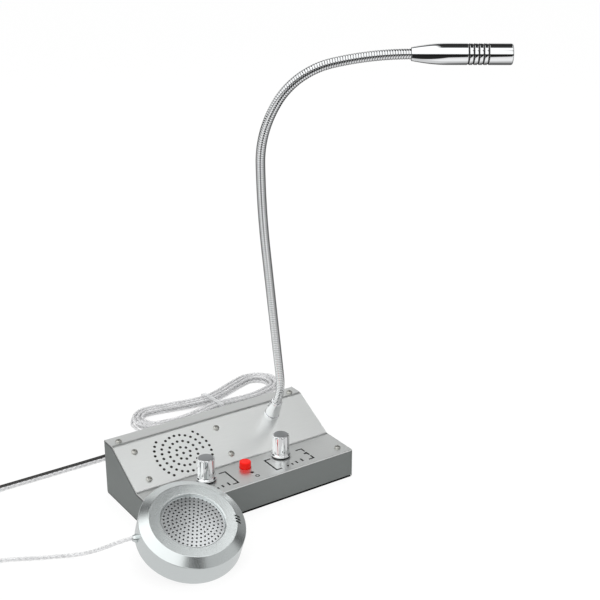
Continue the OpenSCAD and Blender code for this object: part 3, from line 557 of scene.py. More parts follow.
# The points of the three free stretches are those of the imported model.
clear_front = [gland_point(GLAND_L + 2), (-145.5, -67.5, 25.5), (-151, -58, 18.5), (-156, -47, 11),
               (-163, -36.5, 5), (-174, -27, 2), (-194, -17, 1.8), (-220, -3.5, 1.8), (-250, 4, 1.8),
               (-275, 25, 1.8), (-282, 55, 1.8), (-267, 84, 1.8), (-237, 101, 1.8), (-205, 105.9, 1.8),
               (-180, 105.9, 1.8), (-128, 105.9, 1.8), (-76, 105.9, 1.8), (-50, 106, 1.8), (-34, 108, 1.8),
               (-26, 114, 1.8), (-23, 124, 1.8), (-23.3, 136, 1.8), (-23.5, 144, 1.8)]
clear_rear = [(150, 149, 4.2), (138, 136, 1.8), (122, 124, 1.8), (104, 117, 1.8), (84, 113, 1.8),
              (67, 109, 3.6), (56, 101, 9), (51, 93, 13), (OUTER_X, REAR_Y + CORD_FREE, SOCKET_Z)]
supply_front = [(SUPPLY_X, REAR_Y + CORD_FREE, SOCKET_Z), (-30.5, 95, 13), (-34, 105, 8.5),
                (-44, 112, 4), (-58, 112.5, 2.1), (-76, 110.5, 2), (-128, 110, 2), (-180, 110, 2),
                (-189, 111.5, 2), (-197, 114.3, 2), (-205, 117.3, 2), (-213, 118.5, 2)]

clear_points = [gland_point(GLAND_L - 2.8), *clear_front, *hank_line, *clear_rear,
                (OUTER_X, REAR_Y + CORD_END, SOCKET_Z)]
supply_points = [(SUPPLY_X, REAR_Y + CORD_END, SOCKET_Z), *supply_front, *coil_line]
clear_line = evenly(smooth_line(clear_points, steps=5), step=1.6)
supply_line = evenly(smooth_line(supply_points, steps=5), step=1.8)


def make_cord(name, line, diameter, slot, nodes):
    """A cord in one piece, which rides on the base and stands for the named nodes."""
    obj = piece(name, tube(line, diameter / 2, 16), slot, "base", nodes)


def strand(line, side, pitch=10, out=0.8, r=0.75):
    """One of the two twisted strands inside the clear cord."""
    line, u, v = carried(line)
    angles = 2 * math.pi * (measured(line) / pitch + side / 2)
    path = [c + out * (math.cos(w) * p + math.sin(w) * q) for c, w, p, q in zip(line, angles, u, v)]
    return tube(path, r, 6)


def tie_band(half, top, wide, thick):
    """A flat band round the hank."""
    outer = [(-half, 0), (half, 0), (half, top), (-half, top)]
    inner = [(-half + thick, thick), (half - thick, thick), (half - thick, top - thick),
             (-half + thick, top - thick)]
    rings = fillet(outer, 2.6, 6, closed=True), fillet(inner, 2.0, 6, closed=True)
    n = len(rings[0])
    points = [Vector((x, y, z)) for x in (-wide / 2, wide / 2) for ring in rings for y, z in ring]
    faces = []
    for i in range(n):
        j = (i + 1) % n
        faces += [(i, 2 * n + i, 2 * n + j, j), (n + i, n + j, 3 * n + j, 3 * n + i), (i, j, n + j, n + i),
                  (2 * n + i, 3 * n + i, 3 * n + j, 2 * n + j)]
    return moved(Matrix.Translation(HANK_AT) @ Matrix.Rotation(HANK_TURN, 4, "Z"), (points, faces))


piece("cord_strands", joined(strand(clear_line, 0), strand(clear_line, 1)), "clear_cord", "base",
      material="cord_strands")
piece("hank_band", tie_band(half=HANK_HALF_W - HANK_WAIST + CLEAR_D / 2 + 1.4,
                            top=CLEAR_D + HANK_RISE + HANK_LIFT + 1.3, wide=5, thick=0.7),
      "tie", "base", "hank_tie")
make_cord("clear_cord", clear_line, CLEAR_D, "clear_cord",
          ["clear_cord_front", "clear_cord_hank", "clear_cord_rear"])
make_cord("dark_supply_cord", supply_line, SUPPLY_D, "dark_cord", ["supply_cord", "supply_coil"])


# ---- panel and tray ----

def on_slope(x, u, z=0):
    """A place on the sloped part of the panel, +Z square to it, u up the slope from the hollow bend."""
    return at(x, SLOPE_FOOT_Y, FRONT_H) @ Matrix.Rotation(SLOPE_A, 4, "X") @ at(0, u, z)


def panel_line(off, steps=10):
    """The panel's outline in Y and Z, off below its top face."""
    low_t = HOLLOW_R * math.tan(SLOPE_A / 2)
    high_t = CROWN_R * math.tan(SLOPE_A / 2)
    line = [(FRONT_Y, FRONT_H - off)]
    for i in range(steps + 1):
        a = SLOPE_A * i / steps - math.pi / 2
        r = HOLLOW_R + off
        line.append((SLOPE_FOOT_Y - low_t + r * math.cos(a), FRONT_H + HOLLOW_R + r * math.sin(a)))
    for i in range(steps + 1):
        a = math.pi / 2 + SLOPE_A * (1 - i / steps)
        r = CROWN_R - off
        line.append((SLOPE_FOOT_Y + SLOPE_RUN + high_t + r * math.cos(a),
                     REAR_H - CROWN_R + r * math.sin(a)))
    return line + [(REAR_Y, REAR_H - off)]


def across(outline, width):
    """An outline in Y and Z, extruded across the width."""
    n = len(outline)
    points = [Vector((x, y, z)) for x in (-width / 2, width / 2) for y, z in outline]
    area = sum(a[0] * b[1] - b[0] * a[1] for a, b in zip(outline, outline[1:] + outline[:1]))
    walls = [(n + i, n + (i + 1) % n, (i + 1) % n, i) for i in range(n)]
    faces = [tuple(reversed(range(n))), tuple(range(n, 2 * n)), *walls]
    return points, faces if area > 0 else [tuple(reversed(f)) for f in faces]


def ring_places(r, n, half=90):
    """Places on a ring of n, those within half degrees of the X axis."""
    for i in range(n):
        a = 360 * i / n
        if min(a % 180, 180 - a % 180) <= half + 0.01:
            yield r * math.cos(math.radians(a)), r * math.sin(math.radians(a))


PANEL_SCREW_X = 91
SPEAKER_SCREW_X, SPEAKER_SCREW_U = 41.5, 15.2
PANEL_SCREWS = [at(x, y, z) for x in (-PANEL_SCREW_X, PANEL_SCREW_X)
                for y, z in ((-40, FRONT_H), (40, REAR_H))]
SPEAKER_SCREWS = [on_slope(SPEAKER_X + i * SPEAKER_SCREW_X, SPEAKER_U + j * SPEAKER_SCREW_U)
                  for i in (-1, 1) for j in (-1, 1)]
SOUND_PITCH, SOUND_HOLE_R = 6.6, 1.15
SCREW_HOLE_R = 1.7
KNOB_HOLE_R = 4.65
BUTTON_HOLE_R = 5.45
LAMP_HOLE_R = 1.6
NECK_HOLE_R = 5.05
CLOTH_R, CLOTH_LOW, CLOTH_HIGH = 28.5, -1.45, -1.3

sound_places = [(0, 0)] + [p for k in (1, 2, 3) for p in ring_places(SOUND_PITCH * k, 8 * k)]
sound_places += ring_places(SOUND_PITCH * 4, 32, half=45)
panel_outline = panel_line(0) + panel_line(PANEL_T)[::-1]
panel = piece("panel", across(panel_outline, BASE_W), "panel_silver", "base", "top_panel")
rounded(panel, width=0.3, segments=2, angle=60)
cut(panel, joined(
    *(moved(on_slope(SPEAKER_X + x, SPEAKER_U + y), drill(SOUND_HOLE_R, n=16)) for x, y in sound_places),
    *(moved(m, rod(SCREW_HOLE_R, -3, 2)) for m in PANEL_SCREWS + SPEAKER_SCREWS),
    *(moved(at(x, CONTROLS_Y, FRONT_H), rod(KNOB_HOLE_R, -4, 4, 40)) for x in KNOB_PLACES.values()),
    moved(at(BUTTON_X, CONTROLS_Y, FRONT_H), drill(BUTTON_HOLE_R, flare=0.3, n=48)),
    moved(at(BUTTON_X, LAMP_Y, FRONT_H), drill(LAMP_HOLE_R, flare=0.2)),
    moved(on_slope(NECK_X, NECK_U), rod(NECK_HOLE_R, -4, 4, 40))))
even_normals(panel)
piece("speaker_cloth", moved(on_slope(SPEAKER_X, SPEAKER_U), rod(CLOTH_R, CLOTH_LOW, CLOTH_HIGH, 48)),
      "black_plastic", "base", material="paper")

PANEL_GAP = 0.02
INSIDE_H = 60
SOCKET_DENT_R, SOCKET_DENT = 4.2, 0.9
tray_line = panel_line(PANEL_T + PANEL_GAP) + [(REAR_Y, FOOT_H), (FRONT_Y, FOOT_H)]
tray = piece("tray", across(tray_line, BASE_W), "tray_grey", "base", "base_tray")
rounded(tray, width=0.7, segments=3, angle=60)
cut(tray, joined(
    block((BASE_W - 2 * TRAY_T, BASE_D - 2 * TRAY_T, INSIDE_H), (0, 0, FOOT_H + TRAY_T + INSIDE_H / 2)),
    *(moved(at(x, REAR_Y, SOCKET_Z) @ Matrix.Rotation(-math.pi / 2, 4, "X"),
            rod(SOCKET_DENT_R, -SOCKET_DENT, 3, 32)) for x in (SUPPLY_X, RECORD_X, OUTER_X))))
even_normals(tray)

TAB_X, TAB_W, TAB_T = 91.2, 16, 2.4
for side, x in (("left", -TAB_X), ("right", TAB_X)):
    for name, deep, y, top in (("front", 16, -41, FRONT_H), ("rear", 11.6, 43.6, REAR_H)):
        piece(f"{name}_{side}_tab", block((TAB_W, deep, TAB_T), (x, y, top - PANEL_T - TAB_T / 2)),
              "tray_grey", "base")

SCREW_LINE = [(0, -7), (1.5, -7), (1.5, 0), (2.8, 0), (2.85, 0.15), (2.85, 0.75), (2.65, 1.2), (2.2, 1.6),
              (1.5, 1.86), (0.8, 1.94), (0, 1.95)]
screw = piece("screw", lathe(SCREW_LINE, 40), "screw_steel", None)
for degrees in (45, 135):
    cut(screw, moved(turn_by(degrees, "Z"), block((3.1, 0.75, 2), (0, 0, 1.75))))
screw = shape_of(screw)
for name, places in (("panel_screw", PANEL_SCREWS), ("speaker_screw", SPEAKER_SCREWS)):
    piece(name + "_heads", joined(*(moved(m, screw) for m in places)), "screw_steel", "base", name + "s")

INK_T, INK_GAP = 0.02, 0.01


def strokes(lines, width, z):
    """Thin flat bars, drawn on a level face along lines in X and Y."""
    shapes = []
    for line in lines:
        for a, b in zip(line, line[1:]):
            along = (Vector(b) - Vector(a)).normalized() * width / 2
            square = Vector((-along.y, along.x))
            start, end = Vector(a) - along, Vector(b) + along
            corners = [start - square, end - square, end + square, start + square]
            shapes.append(([Vector((*c, z + h)) for h in (0, INK_T) for c in corners],
                           [(3, 2, 1, 0), (4, 5, 6, 7), (0, 1, 5, 4), (1, 2, 6, 5), (2, 3, 7, 6),
                            (3, 0, 4, 7)]))
    return joined(*shapes)


brackets = [[(27.5, -23), (22, -23), (22, -43.3), (27, -43.3)],
            [(56.5, -23), (62, -23), (62, -28)],
            [(62, -38.5), (62, -43.3), (57.5, -43.3)],
            [(62, -31.2), (59.6, -32.2), (62, -33.2), (62, -35.6)],
            [(-23.5, -20.5), (-18, -20.5), (-18, -43.3), (-22.5, -43.3)],
            [(-56.5, -20.5), (-62, -20.5), (-62, -28)],
            [(-62, -38.5), (-62, -43.3), (-57.5, -43.3)]]
TICKS_APART = 77
ticks = [[(x - shift, y - tall / 2), (x - shift, y + tall / 2)] for shift in (0, TICKS_APART)
         for x, y, tall in ((34.5, -42.4, 0.6), (39.5, -42, 1.4), (44.6, -41.3, 2.4), (50.8, -40.6, 3.6))]
icon_x, icon_y, icon_r = 2.3, -42.4, 1.6
icon = [(icon_x + icon_r * math.cos(a), icon_y + icon_r * math.sin(a)) for a in [*turned(16), 2 * math.pi]]
for name, lines, width in (("knob_brackets", brackets, 1.5), ("volume_ticks", ticks, 1.6),
                           ("lamp_icon", [icon], 0.8)):
    piece(name, strokes(lines, width, FRONT_H + INK_GAP), "black_plastic", "base", material="panel_ink")


# ---- controls ----

KNOB_Z = FRONT_H + 0.3
FLUTES, FLUTE_DEPTH, FLUTE_SHARE = 12, 0.6, 0.44
KNOB_ROWS = [(3.4, 0.01, 0), (3.4, 7.2, 0), (1.1, 7.3, 0), (1.0, 8.5, 0), (1.05, 8.75, 0), (1.25, 8.95, 0),
             (1.8, 9.0, 0.05), (2.3, 8.85, 0.15), (2.6, 8.45, 0.3), (2.85, 8.1, 0.5), (3.3, 7.9, 0.75),
             (4.2, 7.82, 1), (12, 7.8, 1), (19.3, 7.78, 1), (20.2, 7.7, 1), (20.7, 7.5, 0.9),
             (21.05, 7.2, 0.6), (21.2, 6.9, 0.3), (21.2, 6.66, 0), (20.6, 6.62, 0), (20.6, 0.01, 0)]
# A black ring under each knob's flange: painted shade in the gap between the knob and the panel.
SHADE_RING_LINE = [(7.45, 0.15), (8.45, 0.15), (8.45, 1.05), (7.45, 1.05)]
INLAY_LINE = [(0, 20.3), (6.6, 20.3), (6.6, 21.3), (6.45, 21.48), (6.2, 21.5), (0, 21.5)]


def knob_shape(n=240):
    """The knob, from rows of height, radius and how much of the flutes' depth each has."""
    points, faces = [], []
    for z, r, flute in KNOB_ROWS:
        for k, a in enumerate(turned(n)):
            t = abs((k * FLUTES / n + 0.5) % 1 - 0.5) / FLUTE_SHARE
            dip = FLUTE_DEPTH * flute * max(0.0, 1 - t * t) ** 0.8
            points.append(Vector(((r - dip) * math.cos(a), (r - dip) * math.sin(a), z)))
    for i in range(len(KNOB_ROWS) - 1):
        for k in range(n):
            j = (k + 1) % n
            faces.append((i * n + k, i * n + j, (i + 1) * n + j, (i + 1) * n + k))
    last = (len(KNOB_ROWS) - 1) * n
    return points, [*faces, tuple(reversed(range(n))), tuple(range(last, last + n))]


for side, x in KNOB_PLACES.items():
    place = at(x, CONTROLS_Y, KNOB_Z)
    body = "knob_" + side
    piece(f"fluted_knob_{side}", moved(place, knob_shape()), "chrome", body, body, sharp=50)
    # The black ring is painted shade under the flange, not a real part of the knob.
    piece(f"knob_shade_ring_{side}", moved(place, closed_lathe(SHADE_RING_LINE)), "black_plastic", body)
    piece(f"knob_inlay_{side}", moved(place, lathe(INLAY_LINE)), "knob_disc", body, "knob_disc_" + side)

cap_top = FRONT_H + 5.9
cap_line = fillet([(5.2, 24.5), (5.2, cap_top - 0.05), (3.2, cap_top), (0.01, cap_top)], 1.0, 5)
cap_line = [(0, 29), (1.85, 29), (1.85, 28.2), (4, 28.1), (4, 24.5), *cap_line, (0, cap_top)]
piece("push_button", moved(at(BUTTON_X, CONTROLS_Y, 0), lathe(cap_line)), "red_plastic", "button",
      "button_cap")

SPRING_R, WIRE_R, SPRING_TURNS, SPRING_STEPS = 3, 0.25, 4, 96
low, high = (corner[2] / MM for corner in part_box("switch_spring"))
spring_line = []
for i in range(SPRING_STEPS + 1):
    a = 2 * math.pi * SPRING_TURNS * i / SPRING_STEPS
    spring_line.append(Vector((BUTTON_X + SPRING_R * math.cos(a), CONTROLS_Y + SPRING_R * math.sin(a),
                               low + WIRE_R + (high - low - 2 * WIRE_R) * i / SPRING_STEPS)))
spring = piece("button_spring", tube(spring_line, WIRE_R, 8), SLOT_OF["switch_spring"], "base",
               "switch_spring")
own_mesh(spring)


# ---- gooseneck ----

SLOPE_UP = Vector((0, -math.sin(SLOPE_A), math.cos(SLOPE_A)))
COLLAR_FOOT = Vector((NECK_X, SLOPE_FOOT_Y + NECK_U * math.cos(SLOPE_A),
                      FRONT_H + NECK_U * math.sin(SLOPE_A)))
LEAN, LEAN_HEADING, MIC_HEADING = math.radians(14), math.radians(217), math.radians(-35)
NECK_DIR = Vector((math.cos(LEAN_HEADING) * math.sin(LEAN), math.sin(LEAN_HEADING) * math.sin(LEAN),
                   math.cos(LEAN)))
MIC_DIR = Vector((math.cos(MIC_HEADING), math.sin(MIC_HEADING), 0))
FOOT_AXIS, FOOT_TURN = SLOPE_UP.cross(NECK_DIR).normalized(), SLOPE_UP.angle(NECK_DIR)
TOP_AXIS, TOP_TURN = NECK_DIR.cross(MIC_DIR).normalized(), NECK_DIR.angle(MIC_DIR)
COLLAR_H, NECK_IN, SOCKET_IN, FOOT_BEND, STRAIGHT = 20, 8, 6, 32, 134
TOP_BENDS = ((83, 4.5), (57, 30), (55, 46), (60, math.degrees(TOP_TURN) - 80.5))
RUN_AT = NECK_IN + FOOT_BEND + STRAIGHT
run_at, run_turn = [RUN_AT], [0.0]
for length, degrees in TOP_BENDS:
    run_at.append(run_at[-1] + length)
    run_turn.append(run_turn[-1] + math.radians(degrees))
NECK_L = run_at[-1] + SOCKET_IN


def neck_heading(s):
    """The gooseneck's direction at the length s from its hidden lower end."""
    if s < RUN_AT:
        turn = float(np.interp(s, (NECK_IN, NECK_IN + FOOT_BEND), (0, FOOT_TURN)))
        return Matrix.Rotation(turn, 3, FOOT_AXIS) @ SLOPE_UP
    return Matrix.Rotation(float(np.interp(s, run_at, run_turn)), 3, TOP_AXIS) @ NECK_DIR


NECK_STEP = 0.1
neck_path = [COLLAR_FOOT + SLOPE_UP * (COLLAR_H - NECK_IN)]
for i in range(round(NECK_L / NECK_STEP)):
    neck_path.append(neck_path[-1] + neck_heading((i + 0.5) * NECK_STEP) * NECK_STEP)


def neck_point(s):
    """The gooseneck's middle at the length s."""
    f = min(max(s / NECK_STEP, 0), len(neck_path) - 1.001)
    return neck_path[int(f)].lerp(neck_path[int(f) + 1], f % 1)


RIBS, RIB_LOW_R, RIB_HIGH = 218, 3.3, 0.7
RIB_PITCH = NECK_L / RIBS
RIB_ROWS = (-1.0, -0.86, -0.6, 0.0, 0.6, 0.86)
SPLIT_RIB = round((NECK_IN + FOOT_BEND + STRAIGHT / 2) / RIB_PITCH)


def make_neck(name, first, last):
    """Ribs first to last of the gooseneck, as one piece that is attached to no body."""
    spots = [(i + 0.5 + t / 2, t) for i in range(first, last) for t in RIB_ROWS] + [(last, -1.0)]
    line = [neck_point(s * RIB_PITCH) for s, _ in spots]
    radii = [RIB_LOW_R + RIB_HIGH * math.sqrt(1 - t ** 4) for _, t in spots]
    n = 24
    obj = piece(name, tube(line, radii, n), "chrome", None, "gooseneck", "neck_chrome", sharp=24)
    obj.data.materials.append(MATERIALS["painted_groove_shade"])
    # The faces at the foot of each rib get a near-black material: painted shade in the gaps between the ribs.
    for face in obj.data.polygons:
        if (face.index // n) % len(RIB_ROWS) in (0, len(RIB_ROWS) - 1):
            face.material_index = 1
    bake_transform(obj)


make_neck("gooseneck_lower", 0, SPLIT_RIB)
make_neck("gooseneck_upper", SPLIT_RIB, RIBS)

collar_line = [(5.05, 0), *fillet([(7.2, 0), (7.2, 2.2), (5.9, 2.35)], 0.5), (5.75, 3.0),
               *fillet([(6.3, 3.0), (6.75, 3.5), (5.45, 18.6), (5.1, 20), (4.15, 20)], 0.8),
               (4.15, 11.5), (2.2, 11.5), (2.2, 0)]
stem_line = [(2.2, -10), (4.9, -10), (4.9, 0.1), (2.2, 0.1)]
piece("gooseneck_collar", moved(on_slope(NECK_X, NECK_U), joined(closed_lathe(collar_line),
                                                                 closed_lathe(stem_line))),
      "chrome", "base", "neck_collar")

MIC = (Matrix.Translation(neck_point(run_at[-1])) @ Matrix.Rotation(MIC_HEADING, 4, "Z")
       @ Matrix.Rotation(math.pi / 2, 4, "Y"))
MIC_L, MIC_R, MIC_SMALL_R, MIC_INNER_R, MIC_END_R = 77, 8.15, 5.25, 6.6, 5.6
TAPER_L, TAPER_STEPS = 26.95, 14
GROOVES, GROOVE_AT, GROOVE_PITCH = 5, 43.3, 3.75
mic_line = [(4.15, 0.2), (4.35, 0), (MIC_SMALL_R - 0.35, 0), (MIC_SMALL_R - 0.08, 0.15), (MIC_SMALL_R, 0.5)]
for k in range(1, TAPER_STEPS + 1):
    t = k / TAPER_STEPS
    mic_line.append((MIC_SMALL_R + (MIC_R - MIC_SMALL_R) * math.sin(math.pi / 2 * t) ** 0.92,
                     0.6 + TAPER_L * t))
for k in range(GROOVES):
    z = GROOVE_AT + GROOVE_PITCH * k
    mic_line += [(MIC_R, z - 0.85), (MIC_R - 0.1, z - 0.65), (MIC_R - 0.55, z - 0.5), (MIC_R - 0.55, z + 0.5),
                 (MIC_R - 0.1, z + 0.65), (MIC_R, z + 0.85)]
mic_line += fillet([(MIC_R, MIC_L - 6), (MIC_R, MIC_L), (MIC_END_R, MIC_L), (MIC_END_R, MIC_L - 3)], 1.6, 6)
mic_line += [(MIC_INNER_R, MIC_L - 3), (MIC_INNER_R, 27), (4.15, 20)]
mic = piece("mic_body", moved(MIC, closed_lathe(mic_line, 128)), "chrome", "mic_head", "mic_shell", sharp=30)
even_normals(mic)
mic.data.materials.append(MATERIALS["painted_groove_shade"])
# The faces inside the grooves get a near-black material: painted shade in the grooves.
for face in mic.data.polygons:
    place = MIC.inverted() @ (face.center / MM)
    if 43 < place.z < 59 and 7 < math.hypot(place.x, place.y) < MIC_R - 0.15:
        face.material_index = 1


# ---- outer unit ----

FACE_R, FACE_Z, CHAMFER_Z = 36, 24.1, 19.4
CHAMFER_A = math.atan2(FACE_Z - CHAMFER_Z, PUCK_R - FACE_R)
rim = fillet([(PUCK_R, 0.3), (PUCK_R, CHAMFER_Z), (FACE_R, FACE_Z), (26.3, FACE_Z), (26, 21.5)], 0.9, 6)
shell_line = [*rim[1:-1], (26, 21.2), (26, 20.9), (24.3, 20.9), (24.3, 19.9), (29, 19.9), (35, 22.1),
              (42, 18.1), (42, 0), (43.7, 0), (PUCK_R, 0.3)]
shell = piece("outer_shell", moved(PUCK, closed_lathe(shell_line, 160)), "puck_silver", "base", "puck_shell")

SLOT_R, SLOT_AZ, SLOT_PITCH, SLOT_TURN = 36.8, -20, 4.4, 78
SLOT_SIZE = (1.7, 4.8, 9)
slots = []
for i in (-1, 0, 1):
    place = (PUCK @ turn_by(SLOT_AZ + SLOT_PITCH * i, "Z") @ at(SLOT_R, 0, FACE_Z - 0.5)
             @ Matrix.Rotation(CHAMFER_A / 2, 4, "Y") @ turn_by(SLOT_TURN, "Z"))
    slots.append(moved(place, block(SLOT_SIZE)))
gland = (PUCK @ Matrix.Rotation(GLAND_AZ, 4, "Z") @ at(PUCK_R, 0, GLAND_H)
         @ Matrix.Rotation(math.pi / 2, 4, "Y"))
cut(shell, joined(*slots, moved(gland, rod(3.05, -3, 1))))
even_normals(shell)
for name, r, x, low, high in (("mic_felt", 5.5, 36.2, 18.0, 18.1), ("grille_felt", 24.2, 0, 19.95, 20.2)):
    place = PUCK @ turn_by(-18.5, "Z") @ at(x, 0, 0)
    piece(name, moved(place, rod(r, low, high, 40)), "foam_black", "base", material="paper")

GRILLE_R, GRILLE_T, DOME_Z, DOME_H, DOME_STEPS = 25.9, 1, 21.9, 1.2, 14
GRILLE_PITCH, GRILLE_HOLE_R = 3.4, 0.78


def dome(r):
    """The grille's height at the radius r."""
    return DOME_Z + DOME_H * (1 - (r / GRILLE_R) ** 2)


sheet = [GRILLE_R * k / DOME_STEPS for k in range(DOME_STEPS + 1)]
grille_line = [(r, dome(r) - GRILLE_T) for r in sheet] + [(r, dome(r)) for r in reversed(sheet)]
grille = piece("outer_grille", moved(PUCK, lathe(grille_line)), "puck_silver", "base", "puck_grille",
               "grille_silver")
grille_places = [(0, 0)] + [p for k in range(1, 8) for p in ring_places(GRILLE_PITCH * k, 6 * k)]
cut(grille, joined(*(moved(PUCK @ at(x, y, dome(math.hypot(x, y))), drill(GRILLE_HOLE_R, 2, 0.12, 12))
                     for x, y in grille_places)))
even_normals(grille)
pad_line = [(0, -3), *fillet([(1, -3), (37, -3), (37, 0), (1, 0)], 0.9), (0, 0)]
pad = piece("foam_pad", moved(PUCK, lathe(pad_line)), "foam_black", "base", "puck_pad")


# ---- floor and light ----

VIEW_X, VIEW_Y = 0.5625, 0.8268
AHEAD = (VIEW_X, VIEW_Y, 0)
BACK = (-VIEW_X, -VIEW_Y, 0)
RIGHT = (VIEW_Y, -VIEW_X, 0)
WHITE = (1, 1, 1, 1)


def set_ramp(ramp, profile, tint=(1, 1, 1)):
    """Gives a colour ramp stops of (place, level) and returns its colour."""
    stops = ramp.color_ramp.elements
    stops[0].position, stops[1].position = profile[0][0], profile[-1][0]
    for where, _ in profile[1:-1]:
        stops.new(where)
    for stop, (_, level) in zip(stops, profile):
        stop.color = (*(level * t for t in tint), 1)
    return ramp.outputs["Color"]


def make_floor():
    """White to the camera, with soft shadows. To the metal it has light and dark bands from left to right,
    which begin past the object's foot. It's darker behind the object, and nearly black far away."""
    far = 6000
    white_share, white_level = 0.82, 1.06
    floor = new_object("floor", [(-far, -far, 0), (far, -far, 0), (far, far, 0), (-far, far, 0)],
                       [(0, 1, 2, 3)])
    mat, shader, add, link = new_material("floor")
    shader.inputs["Base Color"].default_value = (0.86, 0.86, 0.86, 1)
    shader.inputs["Roughness"].default_value = 0.9
    path = add("LightPath")
    seen = add("Math", [(0, path.outputs["Is Camera Ray"]), (1, white_share)], operation="MULTIPLY")
    white = add("Emission", [("Color", WHITE), ("Strength", white_level)])
    place = add("TexCoord").outputs["Object"]
    away = add("VectorMath", [(0, place)], operation="NORMALIZE").outputs[0]
    far_off = add("VectorMath", [(0, place)], operation="LENGTH").outputs["Value"]
    apart = add("MapRange", [("Value", far_off), ("From Min", 0.19), ("From Max", 0.27)]).outputs[0]

    right = add("VectorMath", [(0, away), (1, RIGHT)], operation="DOT_PRODUCT").outputs["Value"]
    right = add("MapRange", [("Value", right), ("From Min", -1.0), ("From Max", 1.0)])
    profile = ((0.0, 0.5), (0.1, 0.9), (0.31, 0.9), (0.35, 0.02), (0.65, 0.02), (0.68, 0.85), (0.8, 1.0),
               (0.9, 0.9), (1.0, 0.4))
    bands = set_ramp(add("ValToRGB", [("Fac", right.outputs[0])]), profile)
    bands = add("Mix", [("Factor", apart), (6, (0.7, 0.7, 0.7, 1)), (7, bands)], data_type="RGBA")

    ahead = add("VectorMath", [(0, away), (1, AHEAD)], operation="DOT_PRODUCT").outputs["Value"]
    ahead = add("MapRange", [("Value", ahead), ("From Min", 0.05), ("From Max", 0.25), ("To Max", 0.85)])
    behind = add("Math", [(0, ahead.outputs[0]), (1, apart)], operation="MULTIPLY")
    near = add("MapRange", [("Value", far_off), ("From Min", 2.5), ("From Max", 3.1), ("To Min", 1.0),
                            ("To Max", 0.02)])
    level = add("Math", [(0, 1.0), (1, behind.outputs[0])], operation="SUBTRACT")
    level = add("Math", [(0, level.outputs[0]), (1, near.outputs[0])], operation="MULTIPLY")
    grey = add("Emission", [("Color", bands.outputs[2]), ("Strength", level.outputs[0])])

    shiny = add("MixShader", [(0, path.outputs["Is Glossy Ray"]), (1, shader.outputs[0]),
                              (2, grey.outputs[0])])
    mixed = add("MixShader", [(0, seen.outputs[0]), (1, shiny.outputs[0]), (2, white.outputs[0])])
    link(mixed.outputs[0], mat.node_tree.nodes["Material Output"].inputs["Surface"])
    floor.data.materials.append(mat)
    return floor


def make_under_shade():
    """A black card in the gap that the feet leave, where little light gets in."""
    card = new_object("under_shade", *block((BASE_W, BASE_D, 0.2), (0, 0, 0.15)))
    dark, shader, _, _ = new_material("under_shade")
    shader.inputs["Base Color"].default_value = (0.004, 0.004, 0.004, 1)
    shader.inputs["Roughness"].default_value = 1.0
    card.data.materials.append(dark)
    return card


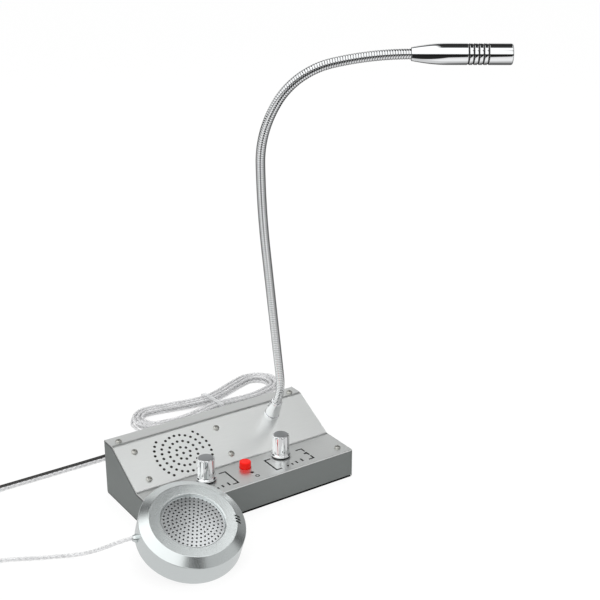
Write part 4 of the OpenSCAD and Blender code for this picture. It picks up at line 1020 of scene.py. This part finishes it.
def make_world():
    """White to the camera. To the metal it's a bright ceiling that starts before the object and ends past
    it, then a dark band, then grey, and all of it is darker on the right, past a bright edge. To diffuse
    rays it's a soft grey sky."""
    world = bpy.data.worlds.new("studio")
    scene.world = world
    world.use_nodes = True
    tree = world.node_tree

    def add(kind, links=(), **values):
        return add_node(tree, kind, links, **values)

    way = add("TexCoord").outputs["Generated"]

    def along(direction):
        dot = add("VectorMath", [(0, way), (1, direction)], operation="DOT_PRODUCT")
        return dot.outputs["Value"]

    def ramp(value, profile, tint=(1, 1, 1)):
        return set_ramp(add("ValToRGB", [("Fac", value)]), profile, tint)

    def together(a, b, operation="MULTIPLY"):
        return add("VectorMath", [(0, a), (1, b)], operation=operation).outputs[0]

    up = add("SeparateXYZ", [(0, way)]).outputs["Z"]
    over = add("Math", [(0, up), (1, along(BACK))], operation="ARCTAN2").outputs[0]
    over = add("MapRange", [("Value", over), ("From Min", 0.0), ("From Max", math.pi), ("To Min", 0.0),
                            ("To Max", 1.0)]).outputs[0]
    right = add("MapRange", [("Value", along(RIGHT)), ("From Min", -1.0), ("From Max", 1.0)]).outputs[0]
    levels = ramp(over, ((0.0, 0.02), (0.035, 0.02), (0.05, 1.2), (0.3, 1.2), (0.59, 1.4), (0.62, 1.0),
                         (0.68, 0.06), (0.76, 0.06), (0.80, 0.74), (1.0, 0.74)), (1, 1.005, 1.003))
    sides = ramp(right, ((0.0, 0.9), (0.2, 1.0), (0.638, 0.95), (0.652, 1.9), (0.67, 1.6), (0.69, 0.62),
                         (0.77, 0.45), (0.93, 0.42), (1.0, 0.5)))
    shiny = together(levels, sides)

    # A round dark card, up before the object and to its right.
    right_part, back_part, up_part = 0.38, 0.644, 0.664
    card = Vector((right_part * VIEW_Y - back_part * VIEW_X, -right_part * VIEW_X - back_part * VIEW_Y,
                   up_part)).normalized()
    hidden = add("MapRange", [("Value", along(card)), ("From Min", 0.971), ("From Max", 0.985),
                              ("To Min", 1.0), ("To Max", 0.01)]).outputs[0]
    shiny = together(shiny, hidden)
    # A dark strip overhead, which the microphone shows as its long dark lines.
    strip = together(ramp(over, ((0.41, 0), (0.45, 1), (0.79, 1), (0.82, 0))),
                     ramp(right, ((0.495, 0), (0.52, 1), (0.612, 1), (0.628, 0))))
    strip = together((1, 1, 1), strip, "SUBTRACT")
    strip = together(strip, (0.03, 0.03, 0.03), "MAXIMUM")
    shiny = together(shiny, strip)

    path = add("LightPath")
    colour = add("MapRange", [("Value", up), ("From Min", -0.2), ("From Max", 1.0), ("To Min", 0.45),
                              ("To Max", 0.95)]).outputs[0]
    for ray, value in (("Is Glossy Ray", shiny), ("Is Camera Ray", WHITE)):
        colour = add("Mix", [("Factor", path.outputs[ray]), (6, colour), (7, value)],
                     data_type="RGBA").outputs[2]
    background = tree.nodes["Background"]
    tree.links.new(colour, background.inputs["Color"])
    background.inputs["Strength"].default_value = 1.0


def softbox(name, place, look_at, size, watts):
    """A rectangular light, in metres, that the metal doesn't mirror."""
    lamp = bpy.data.lights.new(name, "AREA")
    lamp.shape = "RECTANGLE"
    lamp.size, lamp.size_y = size
    lamp.energy = watts
    obj = bpy.data.objects.new(name, lamp)
    scene.collection.objects.link(obj)
    obj.location = place
    obj.rotation_euler = (Vector(look_at) - Vector(place)).to_track_quat("-Z", "Y").to_euler()
    obj.visible_glossy = False


make_floor()
make_under_shade()
make_world()
softbox("top_light", place=(0.3, 0.3, 1.6), look_at=(0, 0, 0.05), size=(1.2, 1.2), watts=8)
softbox("left_light", place=(-1.3, -0.7, 0.9), look_at=(0, 0, 0.1), size=(0.7, 1.2), watts=7)
